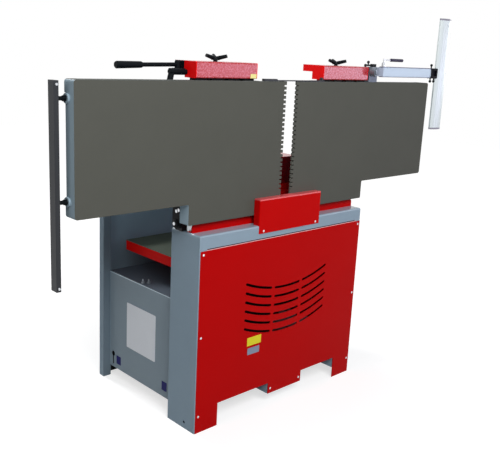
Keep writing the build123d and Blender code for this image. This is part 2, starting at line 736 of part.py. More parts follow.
# Jointer tables: cast plates with rims, ribs, pads and lugs, and bolted toothed lips
def table_outline(inset, start):
    """Table outline in X and Z, set in by a wall, with the wide stretch near the cutterhead."""
    return [
        (start, WIDE_EDGE + inset),
        (WIDE_END - inset, WIDE_EDGE + inset),
        (WIDE_END - inset, NARROW_EDGE + inset),
        (TABLE_END - inset, NARROW_EDGE + inset),
        (TABLE_END - inset, TABLE_TOP - inset),
        (start, TABLE_TOP - inset),
    ]


def table_slab(inset, start, front, back):
    """The table's outline with rounded corners, carried from one depth to another."""
    face = face_of("Y", front, table_outline(inset, start))
    ends = face.vertices().filter_by(lambda v: v.X > TABLE_END - inset - 1)
    face = fillet(ends, TABLE_ROUND - inset / 2)
    corner = face.vertices().filter_by(lambda v: abs(v.X - WIDE_END + inset) < 1)
    face = fillet(corner, NOTCH_ROUND)
    return extrude(face, amount=back - front, dir=DIRECTIONS["Y"])


rail_bolt_heights = (NARROW_EDGE + RAIL_BOLT_EDGE, RAIL_BAR_TOP - RAIL_BOLT_EDGE)


def table_casting(arm_depth, lug_start, guided):
    """Ground plate with a rim, ribs, hinge pads, rail pads and lugs under the lock box."""
    plate_back = TABLE_FACE + PLATE
    full = TABLE_FACE + TABLE_DEPTH
    casting = table_slab(0, LIP_ROOT, TABLE_FACE, plate_back)
    outline = casting.faces().sort_by(Axis.Y)[0].edges()
    casting = fillet(outline.filter_by(lambda e: e.center().X > LIP_ROOT + TABLE_EDGE), TABLE_EDGE)
    rim = table_slab(0, SKIRT_START, plate_back, full)
    rim -= table_slab(RIM_WALL, SKIRT_START + RIM_WALL, plate_back - 1, full + 1)
    corner_x = TABLE_END - PAD_LENGTH
    shallow = block(SKIRT_START, corner_x, TABLE_FACE + RIM_DEPTH, full + 1, NARROW_EDGE - 1, TABLE_TOP + 1)
    shallow += block(
        corner_x - 1,
        TABLE_END + 1,
        TABLE_FACE + RIM_DEPTH,
        full + 1,
        NARROW_EDGE + PAD_LENGTH,
        TABLE_TOP - PAD_LENGTH,
    )
    casting += rim - shallow
    rib_back = TABLE_FACE + RIB_DEPTH
    for share in (0.25, 0.5, 0.75):
        rib_x = SKIRT_START + share * (TABLE_END - SKIRT_START)
        low = (WIDE_EDGE if rib_x < WIDE_END else NARROW_EDGE) + RIM_WALL
        casting += block(rib_x, rib_x + RIB, plate_back, rib_back, low, TABLE_TOP - RIM_WALL)
    rib_z = (NARROW_EDGE + TABLE_TOP) / 2
    casting += block(SKIRT_START, TABLE_END - RIM_WALL, plate_back, rib_back, rib_z, rib_z + RIB)
    low = WIDE_EDGE + ARM_WEB
    high = NARROW_EDGE - ARM_WEB
    for x in arm_places:
        casting += block(x - ARM_WEB, x + ARM_WEB, plate_back, arm_depth, low, high)
        casting -= block(x - 2 * ARM_WEB, x + 2 * ARM_WEB, arm_depth, full + 1, WIDE_EDGE - 1, NARROW_EDGE)
        if guided:
            bore = rod("Y", plate_back, full, x + ARM_WEB / 2, (low + high) / 2, GUIDE_R + RUN_CLEAR)
            casting -= bore
    if guided:
        for z in rail_bolt_heights:
            casting += rod("X", TABLE_END - RIM_WALL, TABLE_END + RAIL_PAD, RAIL_BOLT_Y, z, RAIL_PAD_R)
    for share in (0.02, 0.28, 0.54, 0.8):
        lug_x = lug_start + share * BOX_LENGTH
        casting += block(lug_x, lug_x + LUG_LENGTH, LUG_Y, LUG_Y + LUG_DEPTH, TABLE_TOP - RIM_WALL, BOX_BOTTOM)
    return casting


def toothed_lip():
    """Bolted lip: a thin plate hollowed under to clear the cutterhead, slotted along the planing width."""
    lip = block(LIP_EDGE, LIP_ROOT, TABLE_FACE, TABLE_FACE + PLATE, WIDE_EDGE, TABLE_TOP)
    lip -= rod("Z", WIDE_EDGE - 1, TABLE_TOP + 1, 0, CUTTER_Y_UP, CUTTER_R + LIP_CLEAR)
    count = int((TABLE_TOP - NARROW_EDGE) / TOOTH_PITCH)
    first = (NARROW_EDGE + TABLE_TOP - (count - 1) * TOOTH_PITCH) / 2
    root = LIP_EDGE + TOOTH_DEPTH - TOOTH_SLOT / 2
    back = TABLE_FACE + PLATE + 1
    for index in range(count):
        z = first + index * TOOTH_PITCH
        lip -= block(LIP_EDGE - 1, root, TABLE_FACE - 1, back, z - TOOTH_SLOT / 2, z + TOOTH_SLOT / 2)
        lip -= rod("Y", TABLE_FACE - 1, back, root, z, TOOTH_SLOT / 2)
    return lip


arm_seat = TABLE_FACE + TABLE_DEPTH
infeed_box_start = INFEED_BOX_END - BOX_LENGTH
nodes["outfeed_table"] = table_casting(arm_seat, OUTFEED_BOX_START, False)
nodes["infeed_table"] = mirrored(table_casting(arm_seat - DEPTH_GAP, infeed_box_start, True))
nodes["outfeed_lip"] = toothed_lip()
nodes["infeed_lip"] = mirrored(nodes["outfeed_lip"])


# Lock boxes, knobs and the bar that ties the two tables
def lock_box(start):
    """Folded red box, full height over the table's edge and a shallower lip further back."""
    back = BOX_FRONT + BOX_DEPTH
    lip_back = back + BOX_LIP
    lip_low = BOX_TOP - BOX_LIP_HEIGHT
    outer = [
        (BOX_FRONT, BOX_BOTTOM),
        (back, BOX_BOTTOM),
        (back, lip_low),
        (lip_back, lip_low),
        (lip_back, BOX_TOP),
        (BOX_FRONT, BOX_TOP),
    ]
    w = BOX_SHEET
    inner = [
        (BOX_FRONT + w, BOX_BOTTOM + w),
        (back + 1, BOX_BOTTOM + w),
        (back + 1, lip_low - 1),
        (lip_back - w, lip_low - 1),
        (lip_back - w, BOX_TOP - w),
        (BOX_FRONT + w, BOX_TOP - w),
    ]
    shell = fillet(face_of("X", start, outer).vertices().sort_by(Axis.Y)[:2], BOX_ROUND)
    hollow = fillet(face_of("X", start + w, inner).vertices().sort_by(Axis.Y)[:2], BOX_ROUND - w)
    along = DIRECTIONS["X"]
    return extrude(shell, amount=BOX_LENGTH, dir=along) - extrude(hollow, amount=BOX_LENGTH - 2 * w, dir=along)


def star_knob(x):
    """Three-arm knob with lifted arms on a short stud."""
    hub = [
        (BOX_TOP, 0),
        (BOX_TOP, KNOB_HUB_R / 2),
        (BOX_TOP + KNOB_HEIGHT / 4, KNOB_HUB_R / 2),
        (BOX_TOP + KNOB_HEIGHT / 4, KNOB_HUB_R),
        (BOX_TOP + KNOB_HEIGHT * 0.7, KNOB_HUB_R * 0.9),
        (BOX_TOP + KNOB_HEIGHT * 0.75, 0),
    ]
    knob = turned("Z", x, KNOB_Y, hub)
    root = Plane(origin=(KNOB_HUB_R * 0.3, 0, BOX_TOP + KNOB_HEIGHT * 0.52), z_dir=(1, 0, 0))
    tip = Plane(origin=(KNOB_REACH, 0, BOX_TOP + KNOB_HEIGHT), z_dir=(1, 0, 0.35))
    arm = loft([root * Ellipse(KNOB_HUB_R * 0.5, KNOB_HUB_R * 0.5), tip * Ellipse(KNOB_TIP, KNOB_TIP)])
    for turn in (60, 180, 300):
        knob += Pos(x, KNOB_Y, 0) * Rot(0, 0, turn) * arm
    return knob


def link_bar():
    """Flat bar along the operator's edge that ties the tables, with a thicker block at its infeed end."""
    low = TABLE_TOP + LINK_RISE
    bar = block(LINK_LEFT, OUTFEED_BOX_START, LINK_Y, LINK_Y + LINK_DEPTH, low, low + LINK_HEIGHT / 2)
    end = block(LINK_LEFT, LINK_LEFT + LINK_BLOCK, LINK_Y, LINK_Y + LINK_DEPTH, low, low + LINK_HEIGHT)
    tongue_x = OUTFEED_BOX_START - LINK_BLOCK
    tongue = block(tongue_x, OUTFEED_BOX_START, LINK_Y, BOX_FRONT + LINK_DEPTH, low, low + LINK_HEIGHT / 2)
    riser_x = OUTFEED_BOX_START - LINK_HEIGHT
    riser = block(riser_x, OUTFEED_BOX_START, BOX_FRONT, BOX_FRONT + LINK_DEPTH, low, BOX_BOTTOM + LINK_HEIGHT)
    return bar + end + tongue + riser


nodes["outfeed_lock_box"] = lock_box(OUTFEED_BOX_START)
nodes["infeed_lock_box"] = lock_box(-INFEED_BOX_END)
nodes["outfeed_knob"] = star_knob(OUTFEED_BOX_START + KNOB_SHIFT)
nodes["infeed_knob"] = star_knob(-INFEED_BOX_END + KNOB_SHIFT)
nodes["table_link_bar"] = link_bar()


# Depth lever, its bracket and grip, and the table clamp handle
def tilted(piece):
    """A piece of the depth lever, tilted down about the lever's hub."""
    hub = Pos(-LEVER_X, LEVER_Y, LEVER_Z)
    return hub * Rot(0, -LEVER_TILT, 0) * hub.inverse() * piece


def depth_lever():
    """Round rod out of a turned hub, pointing along the table and a little down."""
    hub = tube(
        "Z",
        LEVER_Z - LEVER_HUB_HALF,
        LEVER_Z + LEVER_HUB_HALF,
        -LEVER_X,
        LEVER_Y,
        LEVER_HUB_R,
        LEVER_PIN_R + RUN_CLEAR,
    )
    tip = -LEVER_X - LEVER_LENGTH
    shank = tilted(rod("X", tip, -LEVER_X - LEVER_PIN_R - SHEET / 2, LEVER_Y, LEVER_Z, LEVER_ROD_R))
    low = LEVER_Z - 2 * LEVER_HUB_HALF
    high = LEVER_Z + 2 * LEVER_HUB_HALF
    return hub + shank - rod("Z", low, high, -LEVER_X, LEVER_Y, LEVER_PIN_R + RUN_CLEAR)


def depth_lever_grip():
    """Tapered sleeve on the end of the lever."""
    tip = -LEVER_X - LEVER_LENGTH
    inner = tip + LEVER_GRIP_LENGTH
    bore = LEVER_ROD_R + SEAT_CLEAR
    shape = [
        (tip - GRIP_NOSE, 0),
        (tip - GRIP_NOSE, 0.8 * LEVER_GRIP_R),
        (tip - GRIP_NOSE / 4, LEVER_GRIP_R),
        (inner - GRIP_NOSE, 0.88 * LEVER_GRIP_R),
        (inner, 0.76 * LEVER_GRIP_R),
        (inner, bore),
        (tip, bore),
        (tip, 0),
    ]
    return tilted(turned("X", LEVER_Y, LEVER_Z, shape))


def depth_lever_bracket():
    """Plates under and on the end of the box's lip, which carry the lever's pivot pin."""
    top = BOX_TOP - BOX_LIP_HEIGHT
    low = top - LEVER_PLATE
    left = -LEVER_X - LEVER_HUB_R - SHEET
    right = -INFEED_BOX_END + LEVER_PLATE_LAP
    plate = block(left, right, LEVER_Y - LEVER_PLATE_HALF, LEVER_Y + LEVER_PLATE_HALF, low, top)
    lip_start = BOX_FRONT + BOX_DEPTH
    end = block(
        -INFEED_BOX_END - LEVER_END_PLATE,
        -INFEED_BOX_END,
        lip_start + LEVER_END_PLATE,
        lip_start + BOX_LIP,
        low,
        BOX_TOP,
    )
    return plate + end + rod("Z", low, LEVER_Z + LEVER_HUB_HALF, -LEVER_X, LEVER_Y, LEVER_PIN_R)


def clamp_handle():
    """Clamp handle: a turned hub on the box's end and a tapered arm hanging from it."""
    end = -INFEED_BOX_END
    far = end - CLAMP_HUB_LENGTH
    shape = [
        (end - PART_GAP, 0),
        (end - PART_GAP, CLAMP_HUB_R * 0.7),
        (end - CLAMP_COLLAR, CLAMP_HUB_R * 0.7),
        (end - CLAMP_COLLAR, CLAMP_HUB_R),
        (far + CLAMP_EDGE, CLAMP_HUB_R),
        (far, CLAMP_HUB_R - CLAMP_EDGE),
        (far, 0),
    ]
    hub = turned("X", CLAMP_Y, CLAMP_Z, shape)
    lean = radians(CLAMP_LEAN)
    root = Plane(origin=(far + CLAMP_HUB_R, CLAMP_Y, CLAMP_Z), z_dir=(-sin(lean), 0, -cos(lean)))
    tip = root.offset(CLAMP_REACH)
    arm = loft([root * Circle(CLAMP_HUB_R * 0.9), tip * Circle(CLAMP_HUB_R)])
    return hub + fillet(arm.edges().sort_by(Axis.Z)[0], CLAMP_EDGE)


nodes["depth_lever"] = depth_lever()
nodes["depth_lever_grip"] = depth_lever_grip()
nodes["depth_lever_bracket"] = depth_lever_bracket()
nodes["clamp_handle"] = clamp_handle()


# Fence rail on the infeed table's end
rail_inner = -TABLE_END - RAIL_BAR_GAP
rail_outer = rail_inner - RAIL_BAR_X
rail_pad_face = -TABLE_END - RAIL_PAD


def fence_rail():
    """Flat steel bar on edge, with two blind holes for its studs."""
    half = RAIL_BAR_Y / 2
    bar = block(rail_outer, rail_inner, RAIL_BOLT_Y - half, RAIL_BOLT_Y + half, RAIL_BAR_BOTTOM, RAIL_BAR_TOP)
    bar = chamfer(bar.edges().filter_by(Axis.Z), RAIL_BEVEL)
    for z in rail_bolt_heights:
        bar -= rod("X", rail_inner - RAIL_STUD, rail_inner + 1, RAIL_BOLT_Y, z, RAIL_BOLT_R + PART_GAP)
    return bar


def rail_spacer(z):
    """Stepped spacer between the table's end and the rail."""
    bore = RAIL_BOLT_R + PART_GAP
    step = rail_pad_face - RAIL_BAR_GAP / 4
    shape = [
        (rail_pad_face, bore),
        (rail_pad_face, SPACER_R),
        (step, SPACER_R),
        (step - SPACER_STEP, SPACER_NECK_R),
        (rail_inner, SPACER_NECK_R),
        (rail_inner, bore),
    ]
    return turned("X", RAIL_BOLT_Y, z, shape)


def rail_bolt(z):
    """Stud from the rail's blind hole through the spacer and up to the table's pad."""
    return rod("X", rail_inner - RAIL_STUD, rail_pad_face, RAIL_BOLT_Y, z, RAIL_BOLT_R)


def rail_stop(z):
    """Small stop screw near an end of the rail."""
    face = RAIL_BOLT_Y - RAIL_BAR_Y / 2
    middle = rail_outer + RAIL_BAR_X / 2
    rim = face - 0.8 * RAIL_STOP
    top = face - RAIL_STOP
    shape = [(face, 0), (face, RAIL_STOP_R), (rim, RAIL_STOP_R), (top, 0.75 * RAIL_STOP_R), (top, 0)]
    return turned("Y", middle, z, shape)


nodes["fence_rail"] = fence_rail()
nodes["rail_spacers"] = group([rail_spacer(z) for z in rail_bolt_heights])
rail_stops = [rail_stop(z) for z in (RAIL_BAR_BOTTOM + RAIL_STOP_EDGE, RAIL_BAR_TOP - RAIL_STOP_EDGE)]
nodes["rail_bolts"] = group([rail_bolt(z) for z in rail_bolt_heights] + rail_stops)


# Bridge guard: bracket, knuckle, arm, end block, guard profile and clamp lever
def guard_bracket():
    """Cast bracket on the table's operator edge with the pivot pin standing out of it."""
    left = GUARD_PIVOT_X - KNUCKLE_HALF + BRACKET_CLEAR
    right = left + BRACKET_WIDTH
    front = GUARD_BACK + BRACKET_CLEAR
    low = GUARD_PIVOT_Z - KNUCKLE_HALF
    high = GUARD_PIVOT_Z + KNUCKLE_HALF
    foot = block(left + KNUCKLE_HALF, right, LUG_Y, LUG_Y + LUG_DEPTH, TABLE_TOP, high)
    plate = block(left, right, front, front + BRACKET_DEPTH, low, high)
    pin = rod("Y", GUARD_FRONT, front + BRACKET_DEPTH, GUARD_PIVOT_X, GUARD_PIVOT_Z, GUARD_PIN_R)
    head_edge = GUARD_FRONT - PART_GAP
    rim = head_edge - 0.6 * GUARD_HEAD
    crown = head_edge - GUARD_HEAD
    shape = [(head_edge, 0), (head_edge, GUARD_HEAD_R), (rim, GUARD_HEAD_R), (crown, 0.8 * GUARD_HEAD_R), (crown, 0)]
    head = turned("Y", GUARD_PIVOT_X, GUARD_PIVOT_Z, shape)
    neck = rod("Y", head_edge - 1, GUARD_FRONT + 1, GUARD_PIVOT_X, GUARD_PIVOT_Z, GUARD_PIN_R)
    return foot + plate + pin + neck + head + lock_pin(high)


def lock_pin(high):
    """Ball-ended locking pin along the bracket's top, held in a lug, with a ball-headed screw beside it."""
    z = GUARD_PIVOT_Z + LOCK_PIN_RISE
    tip = GUARD_PIVOT_X - LOCK_PIN_REACH
    lug_x = GUARD_PIVOT_X + LOCK_PIN_LUG
    lug = block(
        lug_x,
        lug_x + LOCK_PIN_BAR,
        LOCK_PIN_Y - LOCK_PIN_LUG / 2,
        LOCK_PIN_Y + LOCK_PIN_LUG / 2,
        high - 1,
        z + LOCK_PIN_LUG / 2,
    )
    pin = rod("X", tip, lug_x + 1, LOCK_PIN_Y, z, LOCK_PIN_R)
    ball = Pos(tip, LOCK_PIN_Y, z) * Sphere(THUMB_R)
    return lug + pin + ball + thumb_screw(tip + 3 * THUMB_R, LOCK_PIN_Y, z, 1)


def thumb_screw(x, y, z, up):
    """Small ball-headed clamping screw."""
    stem = rod("Z", min(z, z + up * THUMB_RISE), max(z, z + up * THUMB_RISE), x, y, THUMB_R / 2)
    return stem + Pos(x, y, z + up * THUMB_RISE) * Sphere(THUMB_R)


def guard_knuckle():
    """Steel knuckle that turns on the bracket's pin and plugs into the arm."""
    left = GUARD_PIVOT_X - KNUCKLE_HALF
    low = GUARD_PIVOT_Z - KNUCKLE_HALF
    knuckle = block(GUARD_PIVOT_X, KNUCKLE_END, GUARD_FRONT, GUARD_BACK, low, GUARD_PIVOT_Z + KNUCKLE_HALF)
    knuckle += rod("Y", GUARD_FRONT, GUARD_BACK, GUARD_PIVOT_X, GUARD_PIVOT_Z, KNUCKLE_HALF)
    knuckle -= rod("Y", 0, 2 * GUARD_BACK, GUARD_PIVOT_X, GUARD_PIVOT_Z, GUARD_PIN_R + RUN_CLEAR)
    return knuckle


arm_mid_y = (GUARD_FRONT + GUARD_BACK) / 2
arm_low = GUARD_PIVOT_Z - GUARD_ARM_HEIGHT / 2
arm_high = arm_low + GUARD_ARM_HEIGHT
block_low = arm_low - GUARD_DROP


def guard_arm():
    """Hollow aluminium arm with a groove along each edge of its face."""
    half = GUARD_ARM_THICK / 2
    wall = GUARD_ARM_WALL
    bar = block(KNUCKLE_END, GUARD_BLOCK_X, arm_mid_y - half, arm_mid_y + half, arm_low, arm_high)
    bar = fillet(bar.edges().filter_by(Axis.X), wall)
    hollow = block(
        KNUCKLE_END - 1,
        GUARD_BLOCK_X + 1,
        arm_mid_y - half + wall,
        arm_mid_y + half - wall,
        arm_low + wall,
        arm_high - wall,
    )
    bar -= hollow
    for z in (arm_low + 2 * wall, arm_high - 2 * wall):
        face = arm_mid_y - half
        low = z - ARM_GROOVE / 2
        high = z + ARM_GROOVE / 2
        bar -= block(KNUCKLE_END - 1, GUARD_BLOCK_X + 1, face - 1, face + ARM_GROOVE_DEEP, low, high)
    return bar


def guard_end_block():
    """Moulded block that closes the arm and clamps the guard."""
    right = GUARD_BLOCK_X + GUARD_BLOCK_LENGTH
    piece = block(GUARD_BLOCK_X, right, GUARD_FRONT, GUARD_BACK, block_low, arm_high)
    piece = chamfer(piece.edges().filter_by(Axis.X), GUARD_BEVEL)
    inset = 3 * GUARD_BEVEL
    deep = GUARD_FRONT + GUARD_THICK / 4
    window = block(GUARD_BLOCK_X + inset, right - inset, GUARD_FRONT - 1, deep, arm_low + inset, arm_high - inset)
    return piece - window


def guard_section(inset):
    """Cross-section of the guard: flat underneath, crowned on top."""
    left = GUARD_X + inset
    right = GUARD_X + GUARD_WIDTH - inset
    back = GUARD_BACK - GUARD_SET - inset
    edge = GUARD_BACK - GUARD_SET - GUARD_EDGE
    crown = GUARD_BACK - GUARD_SET - GUARD_CROWN + inset
    middle = GUARD_X + GUARD_WIDTH / 2
    top = ThreePointArc((left, edge), (middle, crown), (right, edge))
    sides = Polyline((right, edge), (right, back), (left, back), (left, edge))
    return make_face([top, sides])


def guard_profile():
    """Long hollow aluminium guard, fluted along its crown."""
    low = GUARD_BOTTOM + GUARD_CAP
    length = GUARD_TOP - GUARD_CAP - low
    section = guard_section(0) - guard_section(GUARD_WALL)
    middle = GUARD_X + GUARD_WIDTH / 2
    sag = GUARD_CROWN - GUARD_EDGE
    bow = (GUARD_WIDTH**2 / 4 + sag**2) / (2 * sag)
    for step in range(1 - GUARD_FLUTES, GUARD_FLUTES, 2):
        across = step * GUARD_FLUTE_PITCH / 2
        depth = GUARD_BACK - GUARD_SET - GUARD_CROWN + bow - sqrt(bow**2 - across**2)
        section -= Pos(middle + across, depth) * Circle(GUARD_WALL / 3)
    return Pos(0, 0, low) * extrude(section, amount=length)


def guard_caps():
    """Moulded caps that close both ends of the guard."""
    cap = extrude(guard_section(0), amount=GUARD_CAP)
    return group([Pos(0, 0, GUARD_BOTTOM) * cap, Pos(0, 0, GUARD_TOP - GUARD_CAP) * cap])


def guard_lever():
    """Clamp lever: stud, thin arm and grip lying along the guard's arm."""
    hub = [
        (arm_high + PART_GAP, 0),
        (arm_high + PART_GAP, GUARD_STUD_R),
        (arm_high + 0.85 * GUARD_STUD, GUARD_STUD_R),
        (arm_high + GUARD_STUD, GUARD_NECK_R),
        (GUARD_LEVER_Z + GUARD_NECK_R, GUARD_NECK_R),
        (GUARD_LEVER_Z + GUARD_NECK_R, 0),
    ]
    tip = GUARD_LEVER_X + GUARD_LEVER_REACH - GRIP_NOSE
    return turned("Z", GUARD_LEVER_X, arm_mid_y, hub) + rod(
        "X", GUARD_LEVER_X, tip, arm_mid_y, GUARD_LEVER_Z, GUARD_ROD_R
    )


def guard_lever_grip():
    """Rounded grip on the clamp lever."""
    tip = GUARD_LEVER_X + GUARD_LEVER_REACH
    start = tip - GUARD_GRIP_LENGTH
    bore = GUARD_ROD_R + SEAT_CLEAR
    shape = [
        (start, bore),
        (start, 0.85 * GUARD_GRIP_R),
        (start + 0.75 * GRIP_NOSE, GUARD_GRIP_R),
        (tip - 0.75 * GRIP_NOSE, GUARD_GRIP_R),
        (tip, GUARD_GRIP_R / 2),
        (tip, 0),
        (tip - GRIP_NOSE, 0),
        (tip - GRIP_NOSE, bore),
    ]
    return turned("X", arm_mid_y, GUARD_LEVER_Z, shape)


nodes["guard_bracket"] = guard_bracket()
nodes["guard_knuckle"] = guard_knuckle()
nodes["guard_arm"] = guard_arm()
nodes["guard_end_block"] = guard_end_block()
nodes["guard_thumb_screws"] = group(
    [
        thumb_screw(GUARD_BLOCK_X + THUMB_INSET, arm_mid_y, arm_high, 1),
        thumb_screw(GUARD_BLOCK_X + THUMB_INSET, arm_mid_y, block_low, -1),
        thumb_screw(GUARD_BLOCK_X + THUMB_INSET + THUMB_PITCH, arm_mid_y, block_low, -1),
    ]
)
nodes["guard_profile"] = guard_profile()
nodes["guard_caps"] = guard_caps()
nodes["guard_lever"] = guard_lever()
nodes["guard_lever_grip"] = guard_lever_grip()


# Head: castings, cutterhead, knives, wedges, rollers, kickback fingers and hood
def head_casting(front, back, boss_start, boss_stop):
    """Red casting with a cutterhead boss, roller bearings under spring towers, and the hood's pivot boss."""
    head = block(-HEAD_HALF, HEAD_HALF, front, back, BODY_TOP, HEAD_TOP)
    for side in (-1, 1):
        window_x = side * HEAD_HALF / 2
        low = BODY_TOP + HEAD_FLOOR
        high = HEAD_TOP - HEAD_ROOF
        head -= block(window_x - HEAD_WINDOW, window_x + HEAD_WINDOW, front - 1, back + 1, low, high)
        head += rod("Y", front, back, side * ROLLER_X, ROLLER_Z, ROLLER_BOSS_R)
        left = side * ROLLER_X - TOWER_WIDTH / 2
        tower = block(left, left + TOWER_WIDTH, front, back, ROLLER_Z - ROLLER_BOSS_R, ROLLER_Z + TOWER_RISE)
        head += fillet(tower.edges().filter_by(Axis.Y).sort_by(Axis.Z)[-2:], TOWER_ROUND)
    head += rod("Y", front, back, 0, CUTTER_Z, CUTTER_BOSS_R)
    head += rod("Y", boss_start, boss_stop, ROLLER_X, ROLLER_Z, HOOD_BOSS_R)
    head -= rod("Y", front - 1, back + 1, 0, CUTTER_Z, SHAFT_R + RUN_CLEAR)
    for side in (-1, 1):
        low = min(front, boss_start) - 1
        high = max(back, boss_stop) + 1
        head -= rod("Y", low, high, side * ROLLER_X, ROLLER_Z, ROLLER_SHAFT_R + RUN_CLEAR)
    return head


drum_start = PLANING_START - CUTTER_MARGIN
drum_end = PLANING_END + CUTTER_MARGIN
gullet_turns = [360 * index / KNIFE_COUNT for index in range(KNIFE_COUNT)]


def around_cutter(piece, turn):
    """A piece made upright over the cutterhead axis, turned to its place."""
    axis = Pos(0, 0, CUTTER_Z)
    return axis * Rot(0, turn, 0) * piece


def cutterhead():
    """Drum on its shaft, with a gullet and a gib bar for each knife."""
    drum = rod("Y", drum_start, drum_end, 0, CUTTER_Z, CUTTER_R)
    gullet = block(-GULLET, 0, drum_start - 1, drum_end + 1, GULLET_ROOT_R, CUTTER_R + 1)
    for turn in gullet_turns:
        drum -= around_cutter(gullet, turn)
        drum += around_cutter(wedge(), turn)
    return drum + rod("Y", PULLEY_FRONT - SHEET, BODY_DEPTH - SHEET, 0, CUTTER_Z, SHAFT_R)


def knives():
    """Straight planing knives standing a little proud of the drum."""
    knife = block(-KNIFE_THICK, 0, drum_start, drum_end, GULLET_ROOT_R, CUTTER_R - GULLET / 4)
    bevel = prism(
        "Y",
        drum_start,
        drum_end,
        [
            (-KNIFE_THICK, CUTTER_R - GULLET / 4),
            (0, CUTTER_R - GULLET / 4),
            (0, CUTTER_R + KNIFE_PROUD),
        ],
    )
    return group([around_cutter(knife + bevel, turn) for turn in gullet_turns])


def wedge():
    """Gib bar that clamps a knife, sloped for the chips."""
    outline = [
        (-GULLET, GULLET_ROOT_R),
        (-KNIFE_THICK, GULLET_ROOT_R),
        (-KNIFE_THICK, CUTTER_R - GULLET / 2),
        (-GULLET, CUTTER_R - GULLET * 0.7),
    ]
    return prism("Y", drum_start, drum_end, outline)


def grooved_pulley(x, z, radius, bore):
    """Flanged belt pulley."""
    stop = PULLEY_FRONT + PULLEY_WIDTH
    lip = BELT_MARGIN - PART_GAP
    shape = [
        (PULLEY_FRONT, bore),
        (PULLEY_FRONT, radius + BELT_MARGIN),
        (PULLEY_FRONT + lip, radius + BELT_MARGIN),
        (PULLEY_FRONT + lip, radius),
        (stop - lip, radius),
        (stop - lip, radius + BELT_MARGIN),
        (stop, radius + BELT_MARGIN),
        (stop, bore),
    ]
    return turned("Y", x, z, shape)


def belt_face(x0, z0, r0, x1, z1, r1):
    """Flat outline round two circles and their outer tangents."""
    span = sqrt((x1 - x0) ** 2 + (z1 - z0) ** 2)
    along = ((x1 - x0) / span, (z1 - z0) / span)
    across = (-along[1], along[0])
    lean = (r0 - r1) / span
    lift = sqrt(1 - lean**2)
    corners = []
    for side, order in ((1, (0, 1)), (-1, (1, 0))):
        normal = [lean * along[k] + side * lift * across[k] for k in (0, 1)]
        ends = [(x0 + r0 * normal[0], z0 + r0 * normal[1]), (x1 + r1 * normal[0], z1 + r1 * normal[1])]
        corners += [ends[k] for k in order]
    discs = Pos(x0, z0) * Circle(r0) + Pos(x1, z1) * Circle(r1)
    return discs + make_face(Polyline(*corners, close=True))


def drive_belt():
    """Belt from the motor pulley up to the cutterhead pulley."""
    outer = belt_face(0, CUTTER_Z, PULLEY_R + BELT_THICK, MOTOR_X, MOTOR_Z, MOTOR_PULLEY_R + BELT_THICK)
    inner = belt_face(0, CUTTER_Z, PULLEY_R + PART_GAP, MOTOR_X, MOTOR_Z, MOTOR_PULLEY_R + PART_GAP)
    start = PULLEY_FRONT + BELT_MARGIN
    width = PULLEY_WIDTH - 2 * BELT_MARGIN
    return Pos(0, start, 0) * extrude(Plane.XZ * (outer - inner), amount=-width)


def motor():
    """Finned motor through the column's back wall, held by its flange."""
    stop = MOTOR_FRONT + MOTOR_LENGTH
    casing = rod("Y", MOTOR_FRONT, stop, MOTOR_X, MOTOR_Z, MOTOR_R)
    fin_stop = stop - 2 * MOTOR_FLANGE
    fin_start = COLUMN_DEPTH + MOTOR_FLANGE
    fin = block(-MOTOR_FIN / 4, MOTOR_FIN / 4, fin_start, fin_stop, MOTOR_R - MOTOR_FIN / 2, MOTOR_R + MOTOR_FIN)
    for index in range(MOTOR_FINS):
        casing += Pos(MOTOR_X, 0, MOTOR_Z) * Rot(0, 360 * index / MOTOR_FINS, 0) * fin
    casing += rod("Y", COLUMN_DEPTH, COLUMN_DEPTH + MOTOR_FLANGE, MOTOR_X, MOTOR_Z, MOTOR_FLANGE_R)
    return casing - rod("Y", 0, MOTOR_FRONT + MOTOR_SEAT, MOTOR_X, MOTOR_Z, MOTOR_SHAFT_R + RUN_CLEAR)


roller_start = COLUMN_DEPTH + ROLLER_INSET
roller_end = SIDE_INNER - ROLLER_INSET + PART_GAP


def roller_shaft(x):
    """Feed roller's journals from bearing to bearing."""
    return rod("Y", HEAD_FRONT + SHEET, BODY_DEPTH - SHEET, x, ROLLER_Z, ROLLER_SHAFT_R)


def serrated_roller():
    """Fluted roller that grips the stock on its way in."""
    outline = []
    for index in range(ROLLER_FLUTES):
        for radius, shift in ((ROLLER_R, -0.2), (ROLLER_R, 0.2), (ROLLER_R - ROLLER_FLUTE_DEPTH, 0.5)):
            angle = 2 * pi * (index + shift) / ROLLER_FLUTES
            outline.append((ROLLER_X + radius * cos(angle), ROLLER_Z + radius * sin(angle)))
    return prism("Y", roller_start, roller_end, outline) + roller_shaft(ROLLER_X)


finger_x = ROLLER_X + FINGER_X
finger_z = ROLLER_Z - FINGER_SINK
front_boss_end = COLUMN_DEPTH + HOOD_BOSS_LENGTH
rear_boss_start = SIDE_INNER - HOOD_BOSS_LENGTH


def finger_plate(start):
    """Link from the hood's pivot boss to the finger bar."""
    plate = rod("Y", start, start + FINGER_PLATE, ROLLER_X, ROLLER_Z, HOOD_BOSS_R + FINGER_PLATE)
    plate += rod("Y", start, start + FINGER_PLATE, finger_x, finger_z, FINGER_HUB_R)
    half = FINGER_HUB_R * 0.4
    web = [
        (ROLLER_X, ROLLER_Z - half),
        (finger_x, finger_z - half),
        (finger_x, finger_z + half),
        (ROLLER_X, ROLLER_Z + half),
    ]
    plate += prism("Y", start, start + FINGER_PLATE, web)
    return plate - rod("Y", start - 1, start + FINGER_PLATE + 1, ROLLER_X, ROLLER_Z, HOOD_BOSS_R + SEAT_CLEAR)


def finger_bar():
    """Bar that carries the kickback fingers, hung from the pivot bosses."""
    front = front_boss_end - FINGER_PLATE
    bar = rod("Y", front, rear_boss_start + FINGER_PLATE, finger_x, finger_z, FINGER_BAR_R)
    return bar + finger_plate(front) + finger_plate(rear_boss_start)


